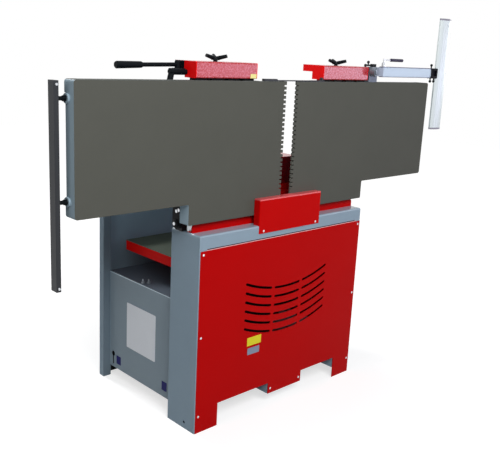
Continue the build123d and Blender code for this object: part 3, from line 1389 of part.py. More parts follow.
def kickback_fingers():
    """Row of hanging pawls that let the stock in and stop it coming back."""
    length = roller_end - roller_start
    count = int(length / FINGER_PITCH)
    first = roller_start + (length - (count - 1) * FINGER_PITCH) / 2
    outline = [
        (finger_x - FINGER_HUB_R, finger_z),
        (finger_x + FINGER_HUB_R, finger_z),
        (finger_x - FINGER_TRAIL + FINGER_TIP, finger_z - FINGER_DROP),
        (finger_x - FINGER_TRAIL, finger_z - FINGER_DROP),
    ]
    fingers = []
    for index in range(count):
        start = first + index * FINGER_PITCH - FINGER_THICK / 2
        stop = start + FINGER_THICK
        pawl = prism("Y", start, stop, outline) + rod("Y", start, stop, finger_x, finger_z, FINGER_HUB_R)
        fingers.append(pawl - rod("Y", start - 1, stop + 1, finger_x, finger_z, FINGER_BAR_R + RUN_CLEAR))
    return group(fingers)


def hood_section(inset, mouth):
    """The hood's section across its pivot: upright back, flat top and sloping front, set in by a wall."""
    outline = [
        (ROLLER_X - HOOD_LEFT + inset, mouth),
        (ROLLER_X - HOOD_LEFT + inset, ROLLER_Z + HOOD_RISE - inset),
        (ROLLER_X + HOOD_SHOULDER - inset / 2, ROLLER_Z + HOOD_RISE - inset),
        (ROLLER_X + HOOD_RIGHT - inset, mouth),
    ]
    face = face_of("Y", HOOD_START, outline)
    return fillet(face.vertices().sort_by(Axis.Z)[-2:], HOOD_ROUND - inset)


def dust_hood():
    """Sheet hood open underneath, with a hose port in its operator-side end."""
    mouth = ROLLER_Z + HOOD_LIFT
    along = DIRECTIONS["Y"]
    length = HOOD_END - HOOD_START
    hollow = extrude(hood_section(HOOD_SHEET, mouth - 1), amount=length - 2 * HOOD_SHEET, dir=along)
    hood = extrude(hood_section(0, mouth), amount=length, dir=along) - Pos(0, HOOD_SHEET, 0) * hollow
    port_x = ROLLER_X + PORT_X
    port_z = ROLLER_Z + PORT_LIFT
    rim_stop = HOOD_END + PORT_RIM_LENGTH
    hood += rod("Y", HOOD_END - HOOD_SHEET, rim_stop, port_x, port_z, PORT_R + PORT_RIM)
    return hood - rod("Y", HOOD_END - 2 * HOOD_SHEET, rim_stop + 1, port_x, port_z, PORT_R)


def hood_arm(start):
    """Flat arm inside an end of the hood, turning on the boss round the infeed roller's bearing."""
    stop = start + HOOD_SHEET
    high = ROLLER_Z + HOOD_LIFT + HOOD_ARM_LAP
    outline = [
        (ROLLER_X - HOOD_ARM_HALF, high),
        (ROLLER_X + HOOD_CHEEK, high),
        (ROLLER_X + HOOD_CHEEK, ROLLER_Z + HOOD_HUB_R),
        (ROLLER_X + HOOD_HUB_R, ROLLER_Z),
        (ROLLER_X - HOOD_HUB_R, ROLLER_Z),
    ]
    arm = prism("Y", start, stop, outline) + rod("Y", start, stop, ROLLER_X, ROLLER_Z, HOOD_HUB_R)
    return arm - rod("Y", start - 1, stop + 1, ROLLER_X, ROLLER_Z, HOOD_BOSS_R + RUN_CLEAR)


nodes["front_head_casting"] = head_casting(HEAD_FRONT, COLUMN_DEPTH, COLUMN_DEPTH, front_boss_end)
nodes["rear_head_casting"] = head_casting(HEAD_REAR, BODY_DEPTH, rear_boss_start, HEAD_REAR)
nodes["cutterhead"] = cutterhead()
nodes["knives"] = knives()
nodes["cutterhead_pulley"] = grooved_pulley(0, CUTTER_Z, PULLEY_R, SHAFT_R + SEAT_CLEAR)
nodes["drive_belt"] = drive_belt()
nodes["motor"] = motor()
nodes["motor_pulley"] = grooved_pulley(MOTOR_X, MOTOR_Z, MOTOR_PULLEY_R, 1) + rod(
    "Y", PULLEY_FRONT, MOTOR_FRONT + MOTOR_SEAT - 2, MOTOR_X, MOTOR_Z, MOTOR_SHAFT_R
)
nodes["serrated_roller"] = serrated_roller()
nodes["smooth_roller"] = rod("Y", roller_start, roller_end, -ROLLER_X, ROLLER_Z, ROLLER_R) + roller_shaft(
    -ROLLER_X
)
nodes["finger_bar"] = finger_bar()
nodes["kickback_fingers"] = kickback_fingers()
nodes["dust_hood"] = dust_hood()
nodes["hood_arms"] = group([hood_arm(HOOD_START + HOOD_SHEET), hood_arm(HOOD_END - 2 * HOOD_SHEET)])


# Thicknesser bed, lift column and handwheel
def thicknesser_bed():
    """Ground bed plate with a deep painted rim and cross ribs, standing on the lift column."""
    half = BED_WIDTH / 2
    y0 = THROAT_MID - half
    y1 = THROAT_MID + half
    low = BED_TOP - BED_RIM
    bed = block(-BED_HALF, BED_HALF, y0, y1, low, BED_TOP)
    bed = fillet(bed.edges().filter_by(Axis.Z), BED_WALL / 2)
    wall = BED_WALL
    under = BED_TOP - BED_PLATE
    bed -= block(-BED_HALF + wall, BED_HALF - wall, y0 + wall, y1 - wall, low - 1, under)
    for share in (-0.5, 0, 0.5):
        x = share * BED_HALF
        bed += block(x - wall / 2, x + wall / 2, y0 + wall, y1 - wall, low, under)
    bed += block(-BED_HALF + wall, BED_HALF - wall, THROAT_MID - wall / 2, THROAT_MID + wall / 2, low, under)
    seat = rod("Z", low, under, 0, THROAT_MID, LIFT_R + BED_WALL)
    return bed + seat - rod("Z", low - 1, under, 0, THROAT_MID, LIFT_R + SEAT_CLEAR)


def lift_housing():
    """Bored column housing on the floor plate, with the handwheel's gearbox boss."""
    foot = rod("Z", FLOOR_PLATE_TOP, FLOOR_PLATE_TOP + HOUSING_FOOT, 0, THROAT_MID, HOUSING_FOOT_R)
    barrel = rod("Z", FLOOR_PLATE_TOP, HOUSING_TOP, 0, THROAT_MID, HOUSING_R)
    boss = rod("Y", THROAT_MID, THROAT_MID + GEARBOX_REACH, 0, WHEEL_Z, GEARBOX_R)
    bore = rod("Z", FLOOR_PLATE_TOP + HOUSING_FOOT, HOUSING_TOP + 1, 0, THROAT_MID, LIFT_R + RUN_CLEAR)
    return foot + barrel + boss - bore


def handwheel():
    """Rim, three spokes and hub on the lift's cross shaft, with the crank pin."""
    middle = BODY_DEPTH + WHEEL_STAND + WHEEL_HUB_LENGTH / 2
    wheel = Pos(0, middle, WHEEL_Z) * Rot(90, 0, 0) * Torus(WHEEL_R - WHEEL_RIM_R, WHEEL_RIM_R)
    hub_start = BODY_DEPTH + WHEEL_STAND
    wheel += rod("Y", hub_start, hub_start + WHEEL_HUB_LENGTH, 0, WHEEL_Z, WHEEL_HUB_R)
    wide = SPOKE_WIDTH / 2
    deep = SPOKE_THICK / 2
    spoke = block(-wide, wide, middle - deep, middle + deep, WHEEL_HUB_R / 2, WHEEL_R - WHEEL_RIM_R)
    for turn in (0, 120, 240):
        wheel += Pos(0, 0, WHEEL_Z) * Rot(0, turn, 0) * spoke
    shaft_start = THROAT_MID + GEARBOX_REACH + PART_GAP
    wheel += rod("Y", shaft_start, hub_start + 1, 0, WHEEL_Z, WHEEL_SHAFT_R)
    pin_z = WHEEL_Z + WHEEL_R - WHEEL_RIM_R
    return wheel + rod("Y", middle, middle + WHEEL_RIM_R + GRIP_LENGTH / 2, 0, pin_z, GRIP_R / 2)


def handwheel_grip():
    """Rounded crank grip on the handwheel's pin."""
    start = BODY_DEPTH + WHEEL_STAND + WHEEL_HUB_LENGTH / 2 + WHEEL_RIM_R
    stop = start + GRIP_LENGTH
    bore = GRIP_R / 2 + RUN_CLEAR
    deep = start + GRIP_LENGTH / 2 + 1
    shape = [
        (start, bore),
        (start, GRIP_R * 0.8),
        (start + GRIP_LENGTH * 0.13, GRIP_R),
        (stop - GRIP_LENGTH * 0.22, GRIP_R * 1.15),
        (stop - GRIP_LENGTH * 0.05, GRIP_R * 0.8),
        (stop, GRIP_R * 0.4),
        (stop, 0),
        (deep, 0),
        (deep, bore),
    ]
    return turned("Y", 0, WHEEL_Z + WHEEL_R - WHEEL_RIM_R, shape)


nodes["thicknesser_bed"] = thicknesser_bed()
nodes["lift_column"] = tube(
    "Z", LIFT_BOTTOM, BED_TOP - BED_PLATE, 0, THROAT_MID, LIFT_R, LIFT_BORE_R
)
nodes["lift_housing"] = lift_housing()
nodes["lift_screw"] = rod("Z", FLOOR_PLATE_TOP + HOUSING_FOOT, SCREW_LIFT_TOP, 0, THROAT_MID, SCREW_LIFT_R)
nodes["handwheel"] = handwheel()
nodes["handwheel_grip"] = handwheel_grip()

# Switch box with its two buttons
switch_front = BODY_DEPTH + SWITCH_DEPTH
start_z = SWITCH_Z + BUTTON_RISE
stop_z = SWITCH_Z - BUTTON_RISE


def switch_box():
    """Hollow box on the operator's side with two button holes."""
    half = SWITCH_WIDTH / 2
    tall = SWITCH_HEIGHT / 2
    box = block(SWITCH_X - half, SWITCH_X + half, BODY_DEPTH, switch_front, SWITCH_Z - tall, SWITCH_Z + tall)
    box = fillet(box.edges().filter_by(Axis.Y), SWITCH_ROUND)
    wall = SWITCH_WALL
    box -= block(
        SWITCH_X - half + wall,
        SWITCH_X + half - wall,
        BODY_DEPTH + wall,
        switch_front - wall,
        SWITCH_Z - tall + wall,
        SWITCH_Z + tall - wall,
    )
    for z in (start_z, stop_z):
        box -= rod("Y", switch_front - 2 * wall, switch_front + 1, SWITCH_X, z, BUTTON_R + RUN_CLEAR)
    return box


def push_button(z, cap_r):
    """Button stem through the box's face, with a flat or mushroom cap."""
    root = switch_front - BUTTON_ROOT
    face = switch_front + BUTTON_PROUD
    edge = switch_front + BUTTON_TRAVEL + PART_GAP
    shape = [
        (root, 0),
        (root, BUTTON_R),
        (edge, BUTTON_R),
        (edge, cap_r),
        (face, cap_r),
        (face + BUTTON_DOME, cap_r - 1.5 * BUTTON_DOME),
        (face + BUTTON_DOME, 0),
    ]
    return turned("Y", SWITCH_X, z, shape)


nodes["switch_box"] = switch_box()
nodes["start_button"] = push_button(start_z, BUTTON_R + BUTTON_DOME)
nodes["stop_button"] = push_button(stop_z, STOP_R)

# Origin on the floor under the middle of the whole machine, then one file for each node
whole = Compound([solid for shape in nodes.values() for solid in shape.solids()]).bounding_box()
ORIGIN = ((whole.min.X + whole.max.X) / 2, (whole.min.Y + whole.max.Y) / 2, whole.min.Z)
os.makedirs("parts", exist_ok=True)
for name, shape in nodes.items():
    export_step(Pos(-ORIGIN[0], -ORIGIN[1], -ORIGIN[2]) * shape, f"parts/{name}.step")
print(len(nodes), "nodes, origin at", [round(value, 3) for value in ORIGIN])
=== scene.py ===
# %% [markdown]
# # A folding-table jointer and planer
# The solids come from the imported model and already stand in the right place, in metres.
# This file gives them light, a camera, finishes and the thin plates that are stuck on them.

# %% Load the machine
import bpy
import json
import numpy as np
from collections import namedtuple
from math import cos, radians, sin
from mathutils import Matrix, Vector


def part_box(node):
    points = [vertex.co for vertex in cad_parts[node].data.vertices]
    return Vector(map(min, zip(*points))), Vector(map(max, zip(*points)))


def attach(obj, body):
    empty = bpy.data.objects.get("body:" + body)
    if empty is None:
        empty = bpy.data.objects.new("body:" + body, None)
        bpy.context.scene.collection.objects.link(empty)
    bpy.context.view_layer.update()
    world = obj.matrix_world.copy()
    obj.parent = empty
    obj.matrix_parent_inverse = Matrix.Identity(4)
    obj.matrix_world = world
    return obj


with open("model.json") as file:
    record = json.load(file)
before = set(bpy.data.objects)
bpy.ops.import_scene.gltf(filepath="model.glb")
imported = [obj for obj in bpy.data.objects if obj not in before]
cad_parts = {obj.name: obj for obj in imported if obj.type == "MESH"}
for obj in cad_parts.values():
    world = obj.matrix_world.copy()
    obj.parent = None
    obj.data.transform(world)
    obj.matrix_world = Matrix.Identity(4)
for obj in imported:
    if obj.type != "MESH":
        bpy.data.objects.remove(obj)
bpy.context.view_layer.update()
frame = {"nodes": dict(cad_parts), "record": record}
scene = bpy.context.scene
scene.view_settings.view_transform = "Standard"

# %% [markdown]
# ## A datum on the body
# The camera, the lamps and the plates need places. These could be counted from the world's origin, but
# a maker measures from the body: the middle of the feed direction, the drive-side face and the floor.
# The drive column's box gives that point, so every place follows if the body is moved.

# %% Find the datum
column_low, column_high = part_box("drive_column")
datum = Vector(((column_low.x + column_high.x) / 2, column_low.y, 0.0))
print("datum at", tuple(round(v, 4) for v in datum))

# %% [markdown]
# ## The camera
# The photographer stood off the infeed corner on the drive side, a little above the tables.
# A camera could be aimed at a target object, but the picture also leans by about three degrees.
# So the three camera directions are worked out from a heading, a downward tilt and that lean.

# %% Place the camera
heading, tilt, lean = radians(44.21), radians(13.67), radians(2.89)
camera_place = (-1.9847, -1.824, 1.3822)
sensor_width_mm = 36.0
focal_length_mm = 51.63

ahead = Vector((sin(heading) * cos(tilt), cos(heading) * cos(tilt), -sin(tilt)))
level = Vector((cos(heading), -sin(heading), 0.0))
overhead = level.cross(ahead)
right = cos(lean) * level + sin(lean) * overhead
up = cos(lean) * overhead - sin(lean) * level
lens = bpy.data.cameras.new("camera")
lens.sensor_width = sensor_width_mm
lens.lens = focal_length_mm
camera = bpy.data.objects.new("camera", lens)
turn = Matrix((right, up, -ahead)).transposed().to_4x4()
camera.matrix_world = Matrix.Translation(datum + Vector(camera_place)) @ turn
scene.collection.objects.link(camera)
scene.camera = camera
print("camera at", tuple(round(v, 3) for v in camera.location))

# %% [markdown]
# ## Wiring nodes
# Every material below is a small circuit of nodes. Each node could be added and linked by hand, in four or
# five lines, but three steps come back all the time: setting or linking a socket, doing a sum, and bringing
# a signal between two values. They are written once here, and they work in any node tree.


# %% Make the wiring helpers
def wire(tree, value, socket):
    """A number is set on the socket itself, and another node's output is linked to it."""
    if isinstance(value, bpy.types.NodeSocket):
        tree.links.new(value, socket)
    else:
        socket.default_value = value


def arithmetic(tree, operation, *values):
    """One operation on numbers and signals, given in the order of the node's sockets."""
    node = tree.nodes.new("ShaderNodeMath")
    node.operation = operation
    for value, socket in zip(values, node.inputs):
        wire(tree, value, socket)
    return node.outputs[0]


def between(tree, signal, low, high, start=0.0, stop=1.0):
    """A signal that runs from start to stop, brought between a low and a high value."""
    node = tree.nodes.new("ShaderNodeMapRange")
    wire(tree, signal, node.inputs["Value"])
    node.inputs["From Min"].default_value = start
    node.inputs["From Max"].default_value = stop
    node.inputs["To Min"].default_value = low
    node.inputs["To Max"].default_value = high
    return node.outputs["Result"]


print("helpers:", wire.__name__, arithmetic.__name__, between.__name__)

# %% [markdown]
# ## The studio world
# A white sweep could be built as a curved wall, but a white world seen by the camera does the same.
# The world is plain white for camera, mirror and glass rays, and dimmer where it lights the paint,
# so that the throat under the cutterhead falls into shade as it does in a real room.


# %% Make the world
def seen_rays(tree):
    """1 for camera, glossy and transmission rays, and 0 for the rays that carry light to the machine."""
    rays = tree.nodes.new("ShaderNodeLightPath").outputs
    mirrored = arithmetic(tree, "MAXIMUM", rays["Is Camera Ray"], rays["Is Glossy Ray"])
    return arithmetic(tree, "MAXIMUM", mirrored, rays["Is Transmission Ray"])


def studio_world(name, room_light):
    """White where it is seen, and a softer white where it lights the machine."""
    world = bpy.data.worlds.new(name)
    world.use_nodes = True
    tree = world.node_tree
    tree.nodes.clear()
    white = tree.nodes.new("ShaderNodeBackground")
    white.inputs["Color"].default_value = (1.0, 1.0, 1.0, 1.0)
    wire(tree, between(tree, seen_rays(tree), room_light, 1.0), white.inputs["Strength"])
    out = tree.nodes.new("ShaderNodeOutputWorld")
    wire(tree, white.outputs[0], out.inputs["Surface"])
    return world


scene.world = studio_world("white_studio", room_light=0.03)
print("world:", scene.world.name)

# %% [markdown]
# ## The lamps
# A studio lights a machine with flat softboxes. Sun or point lamps would be quicker to place, but they give
# hard shadows and pinpoint glints, so area lamps of a softbox's size are used.
# The wide front box gives most of the light. A corner box lifts the infeed end, a side box the outfeed end,
# and one at the back draws the line of shade across the bed.
# The long low strip stands where the fronts of the lock boxes mirror it into the camera, which gives
# their hammered paint its pale glare and leaves the covers below deep red.


# %% Hang the softboxes
def softbox(name, place, aim, size, power, colour=(1.0, 1.0, 1.0)):
    """A flat lamp of a given width and height, facing a point. Places are from the datum."""
    lamp = bpy.data.lights.new(name, "AREA")
    lamp.shape = "RECTANGLE"
    lamp.size, lamp.size_y = size
    lamp.energy = power
    lamp.color = colour
    box = bpy.data.objects.new(name, lamp)
    box.location = datum + Vector(place)
    box.rotation_euler = (Vector(aim) - Vector(place)).to_track_quat("-Z", "Y").to_euler()
    scene.collection.objects.link(box)


softbox("front_softbox", place=(-1.1, -2.6, 3.0), aim=(0.0, 0.1, 0.7), size=(2.4, 1.6), power=118.0)
softbox("corner_softbox", place=(-2.3, -0.4, 1.8), aim=(-0.6, 0.05, 1.2), size=(0.8, 0.8), power=6.5)
softbox("back_softbox", place=(-0.5, 2.5, 2.65), aim=(-0.3, 0.4, 0.65), size=(0.5, 0.5), power=54.0)
softbox("side_softbox", place=(2.5, -0.1, 1.5), aim=(0.4, 0.3, 0.6), size=(0.8, 0.6), power=7.0)
softbox("strip_softbox", place=(2.03, -1.85, 1.26), aim=(0.0, 0.04, 1.31), size=(2.0, 0.3), power=10.4,
        colour=(0.8, 0.75, 1.0))

# %% [markdown]
# ## The floor
# The floor is a plain pale sheet. White paper under the machine would do, but its edge would show as a line.
# So where the floor is seen it also glows, more with distance, until it runs into the white background,
# and near the machine it still keeps the shadow.
# No light gets into the closed foot at the column's corner, so the floor there is painted black as painted
# shade. Otherwise it would glow through the anchor hole.


# %% Mix the floor
def floor_finish(name, foot_low, foot_high, tone=0.5, glow_near=0.66, fade_from=0.6, fade_to=3.2):
    """A matt tone and a glow that grows white with distance, put out in the foot as painted shade."""
    finish = bpy.data.materials.new(name)
    finish.use_nodes = True
    tree = finish.node_tree
    tree.nodes.clear()
    where = tree.nodes.new("ShaderNodeTexCoord").outputs["Object"]
    distance = tree.nodes.new("ShaderNodeVectorMath")
    distance.operation = "LENGTH"
    wire(tree, where, distance.inputs[0])
    along = tree.nodes.new("ShaderNodeSeparateXYZ")
    wire(tree, where, along.inputs[0])
    # Inside the foot the floor's tone and glow are both put out, as painted shade.
    foot_shade_mask = 1.0
    for place, low, high in zip(along.outputs, foot_low, foot_high):
        foot_shade_mask = arithmetic(tree, "MULTIPLY", foot_shade_mask, arithmetic(tree, "GREATER_THAN", place, low))
        foot_shade_mask = arithmetic(tree, "MULTIPLY", foot_shade_mask, arithmetic(tree, "LESS_THAN", place, high))
    open_floor = arithmetic(tree, "SUBTRACT", 1.0, foot_shade_mask)
    fade = between(tree, distance.outputs["Value"], glow_near, 1.0, start=fade_from, stop=fade_to)
    seen_glow = arithmetic(tree, "MULTIPLY", fade, seen_rays(tree))
    matt = tree.nodes.new("ShaderNodeBsdfDiffuse")
    wire(tree, arithmetic(tree, "MULTIPLY", open_floor, tone), matt.inputs["Color"])
    glow = tree.nodes.new("ShaderNodeEmission")
    wire(tree, arithmetic(tree, "MULTIPLY", open_floor, seen_glow), glow.inputs["Strength"])
    both = tree.nodes.new("ShaderNodeAddShader")
    wire(tree, matt.outputs[0], both.inputs[0])
    wire(tree, glow.outputs[0], both.inputs[1])
    out = tree.nodes.new("ShaderNodeOutputMaterial")
    wire(tree, both.outputs[0], out.inputs["Surface"])
    return finish


corner_foot = 0.11
pale_floor = floor_finish(
    "pale_floor", (column_low.x, column_low.y), (column_low.x + corner_foot, column_high.y)
)
print("floor finish:", pale_floor.name)

# %% [markdown]
# The sheet itself is one square, far wider than the picture. It could lie right at the feet, but two faces
# in one plane flicker where they meet, so it is half a millimetre lower. It belongs to the stage and not to
# the machine.

# %% Lay the floor
floor_reach = 9.0
floor_gap = 0.0005
corners = [(x * floor_reach, y * floor_reach, 0.0) for x, y in ((-1, -1), (1, -1), (1, 1), (-1, 1))]
floor_mesh = bpy.data.meshes.new("floor")
floor_mesh.from_pydata(corners, [], [(0, 1, 2, 3)])
floor_mesh.materials.append(pale_floor)
floor = bpy.data.objects.new("floor", floor_mesh)
floor.location.z = -floor_gap
scene.collection.objects.link(floor)
print("floor laid at z", floor.location.z)

# %% [markdown]
# ## Shared finish effects
# Paint, ground iron and plastic are never one flat colour: they drift a little, and their skin has a grain.
# Both effects are small node groups, so every finish can share them with its own numbers.
# The drift multiplies the colour by broad noise. The grain is fine noise on stretched coordinates:
# an even stretch gives the orange peel of powder coat, and an uneven one gives grinding or drawing lines.


# %% Make the tone drift
def effect(name, inputs, output):
    """An empty node group with named inputs and one output."""
    tree = bpy.data.node_groups.new(name, "ShaderNodeTree")
    for label, kind in inputs:
        tree.interface.new_socket(label, in_out="INPUT", socket_type=kind)
    tree.interface.new_socket(output[0], in_out="OUTPUT", socket_type=output[1])
    return tree, tree.nodes.new("NodeGroupInput").outputs, tree.nodes.new("NodeGroupOutput").inputs


drift, given, result = effect(
    "tone_drift",
    [
        ("Vector", "NodeSocketVector"),
        ("Colour", "NodeSocketColor"),
        ("Spread", "NodeSocketFloat"),
        ("Scale", "NodeSocketFloat"),
    ],
    ("Colour", "NodeSocketColor"),
)
cloud = drift.nodes.new("ShaderNodeTexNoise")
cloud.inputs["Detail"].default_value = 5.0
cloud.inputs["Roughness"].default_value = 0.62
wire(drift, given["Vector"], cloud.inputs["Vector"])
wire(drift, given["Scale"], cloud.inputs["Scale"])
plus_or_minus = arithmetic(drift, "MULTIPLY_ADD", cloud.outputs["Fac"], 2.0, -1.0)
amount = arithmetic(drift, "MULTIPLY_ADD", plus_or_minus, given["Spread"], 1.0)
tint = drift.nodes.new("ShaderNodeVectorMath")
tint.operation = "SCALE"
wire(drift, given["Colour"], tint.inputs[0])
wire(drift, amount, tint.inputs["Scale"])
wire(drift, tint.outputs[0], result["Colour"])
print("effect:", drift.name, "with", len(drift.nodes), "nodes")

# %% [markdown]
# The grain needs only a stretch, which is the number of waves in a metre along each axis. A wave texture
# could draw the lines of grinding, but its lines would be all alike. Stretched noise has long and short ones.

# %% Make the skin grain
grain, given, result = effect(
    "skin_grain",
    [("Vector", "NodeSocketVector"), ("Stretch", "NodeSocketVector")],
    ("Height", "NodeSocketFloat"),
)
stretched = grain.nodes.new("ShaderNodeVectorMath")
stretched.operation = "MULTIPLY"
fine = grain.nodes.new("ShaderNodeTexNoise")
fine.inputs["Scale"].default_value = 1.0
fine.inputs["Detail"].default_value = 2.0
wire(grain, given["Vector"], stretched.inputs[0])
wire(grain, given["Stretch"], stretched.inputs[1])
wire(grain, stretched.outputs[0], fine.inputs["Vector"])
wire(grain, fine.outputs["Fac"], result["Height"])
print("effect:", grain.name, "with", len(grain.nodes), "nodes")

# %% [markdown]
# ## A finish under construction
# Each finish is one principled shader. Its colour goes through the drift, its roughness follows the grain,
# and the same grain makes the bump. Numbers that are the same all over sit on the shader's own sockets.
# The gloss is kept low on paint, because a room that is white all round would wash its colour out.

# %% Start a finish
GRAIN_DEPTH = 0.0004


def linear(red, green, blue):
    """A screen colour of 0 to 255 as the linear colour that a shader takes."""
    c = np.array((red, green, blue)) / 255.0
    c = np.where(c <= 0.04045, c / 12.92, ((c + 0.055) / 1.055) ** 2.4)
    return (*c.tolist(), 1.0)


class Finish:
    """A material being mixed: its node tree, its shader and the coordinates on the piece."""

    def __init__(self, name, gloss):
        self.material = bpy.data.materials.new(name)
        self.material.use_nodes = True
        self.tree = self.material.node_tree
        self.shader = self.tree.nodes["Principled BSDF"]
        self.feed("Specular IOR Level", gloss)
        self.where = self.tree.nodes.new("ShaderNodeTexCoord").outputs["Object"]

    def feed(self, socket, value):
        """A number or a signal into one of the shader's sockets."""
        wire(self.tree, value, self.shader.inputs[socket])

    def use(self, effect_tree, **values):
        """One shared effect on this piece's coordinates, with its own numbers."""
        node = self.tree.nodes.new("ShaderNodeGroup")
        node.node_tree = effect_tree
        wire(self.tree, self.where, node.inputs["Vector"])
        for label, value in values.items():
            wire(self.tree, value, node.inputs[label])
        return node.outputs[0]

    def tone(self, colour, drift_by, drift_scale):
        """A screen colour that drifts by a share of itself, over patches as small as the scale makes them."""
        return self.use(drift, Colour=linear(*colour), Spread=drift_by, Scale=drift_scale)

    def bump(self, height, strength):
        """The height signal as a bump of the grain's depth."""
        node = self.tree.nodes.new("ShaderNodeBump")
        node.inputs["Strength"].default_value = strength
        node.inputs["Distance"].default_value = GRAIN_DEPTH
        wire(self.tree, height, node.inputs["Height"])
        self.feed("Normal", node.outputs["Normal"])


print("grain is", GRAIN_DEPTH * 1000, "mm deep, and mid grey is", round(linear(128, 128, 128)[0], 3))

# %% [markdown]
# ## One finish all over
# Most pieces have a single finish, so one function mixes it and keeps it under its name.
# It could be mixed again for each piece, but then a change of tone would have to be made in every place.

# %% Mix a plain finish
PLAIN_DRIFT = 7.0
PLAIN_SWING = 0.06
finishes = {}


def even(waves):
    """A grain that is the same along all three axes, in waves to the metre."""
    return (waves, waves, waves)


ORANGE_PEEL = even(700.0)


def one_finish(name, colour, rough, metal=0.0, gloss=0.2, drift_by=0.05, stretch=ORANGE_PEEL, strength=0.15):
    """A finish of one colour: drifting tone, grain bump and roughness that follows the grain."""
    made = Finish(name, gloss)
    made.feed("Metallic", metal)
    made.feed("Base Color", made.tone(colour, drift_by, PLAIN_DRIFT))
    height = made.use(grain, Stretch=stretch)
    made.feed("Roughness", between(made.tree, height, rough - PLAIN_SWING, rough + PLAIN_SWING))
    made.bump(height, strength)
    finishes[name] = made.material


print("orange peel has", ORANGE_PEEL[0] / 1000, "waves in a millimetre")

# %% [markdown]
# ## Two finishes on one piece
# Some castings are ground on one side of a plane and painted on the other, and some screws are part of a
# bigger piece. The pieces could be cut up, but a mask is enough: a finish changes to another one
# where the piece's own coordinates pass a limit.
# A finish that is laid on in this way is called a skin. It may have a coat and painted glints of a second
# colour.

# %% Say what a patch is
Skin = namedtuple("Skin", "colour rough metal stretch coat fleck", defaults=(0.0, ORANGE_PEEL, 0.0, None))


def over(axis, place):
    """The limit of a patch that lies past a place on an axis."""
    return axis, place, "GREATER_THAN"


def under(axis, place):
    """The limit of a patch that lies short of a place on an axis."""
    return axis, place, "LESS_THAN"


print("a skin is given by", ", ".join(Skin._fields))

# %% [markdown]
# A skin is worked out as five layers: colour, roughness, metal share, coat and grain. Laying a patch over
# a base means choosing between two layers by the mask, five times. Mixing two whole shaders would be shorter,
# but one shader with mixed sockets renders faster.
# A layer that is the same number in both skins stays a plain number.

# %% Patch a finish
PATCH_DRIFT = 8.0
PATCH_SWING = 0.07
COAT_ROUGHNESS = 0.24
GLINT_HEIGHT = 0.53
LAYER_KINDS = ("RGBA", "FLOAT", "FLOAT", "FLOAT", "FLOAT")
MIX_SOCKETS = {"FLOAT": (2, 3, 0), "RGBA": (6, 7, 2)}


def choose(tree, mask, first, second, kind):
    """The first signal or number where the mask is 0, and the second where it is 1. A mix node has a pair of
    inputs and an output for each kind, told apart by their place in its list of sockets."""
    if first == second:
        return first
    mix = tree.nodes.new("ShaderNodeMix")
    mix.data_type = kind
    first_in, second_in, mixed_out = MIX_SOCKETS[kind]
    wire(tree, mask, mix.inputs[0])
    wire(tree, first, mix.inputs[first_in])
    wire(tree, second, mix.inputs[second_in])
    return mix.outputs[mixed_out]


def skin_layers(made, skin, drift_by):
    """The colour, roughness, metal share, coat and grain of one skin. Painted glints lie on the tops of the
    grain.
    """
    height = made.use(grain, Stretch=skin.stretch)
    tone = made.tone(skin.colour, drift_by, PATCH_DRIFT)
    # Painted glints: a paler colour on the tops of the grain, standing in for the glints of a lamp.
    if skin.fleck:
        on_top = arithmetic(made.tree, "GREATER_THAN", height, GLINT_HEIGHT)
        tone = choose(made.tree, on_top, tone, made.tone(skin.fleck, drift_by, PATCH_DRIFT), "RGBA")
    rough = between(made.tree, height, skin.rough - PATCH_SWING, skin.rough + PATCH_SWING)
    return tone, rough, skin.metal, skin.coat, height


def patched_finish(name, base, *patches, gloss=0.2, drift_by=0.06, strength=0.12):
    """A base skin with others laid over it in turn. A patch is a skin and a list of limits, and it lies
    wherever any one of the limits is passed."""
    made = Finish(name, gloss)
    axes = made.tree.nodes.new("ShaderNodeSeparateXYZ")
    wire(made.tree, made.where, axes.inputs[0])
    layers = skin_layers(made, base, drift_by)
    for skin, limits in patches:
        mask = 0.0
        for axis, place, side in limits:
            passed = arithmetic(made.tree, side, axes.outputs[axis], place)
            mask = arithmetic(made.tree, "MAXIMUM", mask, passed)
        pairs = zip(layers, skin_layers(made, skin, drift_by), LAYER_KINDS)
        layers = [choose(made.tree, mask, first, second, kind) for first, second, kind in pairs]
    for socket, layer in zip(("Base Color", "Roughness", "Metallic", "Coat Weight"), layers):
        made.feed(socket, layer)
    made.feed("Coat Roughness", COAT_ROUGHNESS)
    made.bump(layers[-1], strength)
    finishes[name] = made.material


print("layers of a skin:", len(LAYER_KINDS))

# %% [markdown]
# ## Plain paints
# Small sheet parts have a satin powder coat with a fine orange peel, and castings are painted over a rougher
# skin. An image of painted sheet could be wrapped round them, but drift and grain need no unwrapping and
# show no seam. The shelf's duller grey and the floor plate's near black are painted shade.

# %% Mix the plain paints
RED = (186, 5, 6)
SHADE_BLACK = (14, 15, 17)
one_finish("red_paint", RED, 0.36, gloss=0.04, strength=0.12)
one_finish("red_iron", (178, 10, 12), 0.45, gloss=0.05, drift_by=0.08, stretch=even(300.0), strength=0.3)
# A duller grey on the shelf, as painted shade.
one_finish("shelf_painted_shade", (88, 97, 108), 0.5, gloss=0.05)
one_finish("motor_paint", (92, 100, 106), 0.46, drift_by=0.07)
# Near black on the floor plate, as painted shade.
one_finish("inside_painted_shade", SHADE_BLACK, 0.7, gloss=0.05)
print("plain paints:", list(finishes))

# %% [markdown]
# ## Body sheet with painted shade inside
# The body is folded from grey painted sheet, three millimetres thick. Its inside sees no lamp, so the vents
# and holes look black. The lamps alone could do that, but the pale floor shines up through the open bottom.
# So the sheet starts near black as painted shade, and the grey paint is laid on past planes that lie just
# short of its inner faces. Below the roof of the fork pockets both sides of the sheet are painted. The
# operator's column has painted shade inside only low down, and the strip that it returns towards the shelf is
# a darker grey as painted shade.
# The bright line where the drive column's top bend catches the lamps is a strip of clear coat.

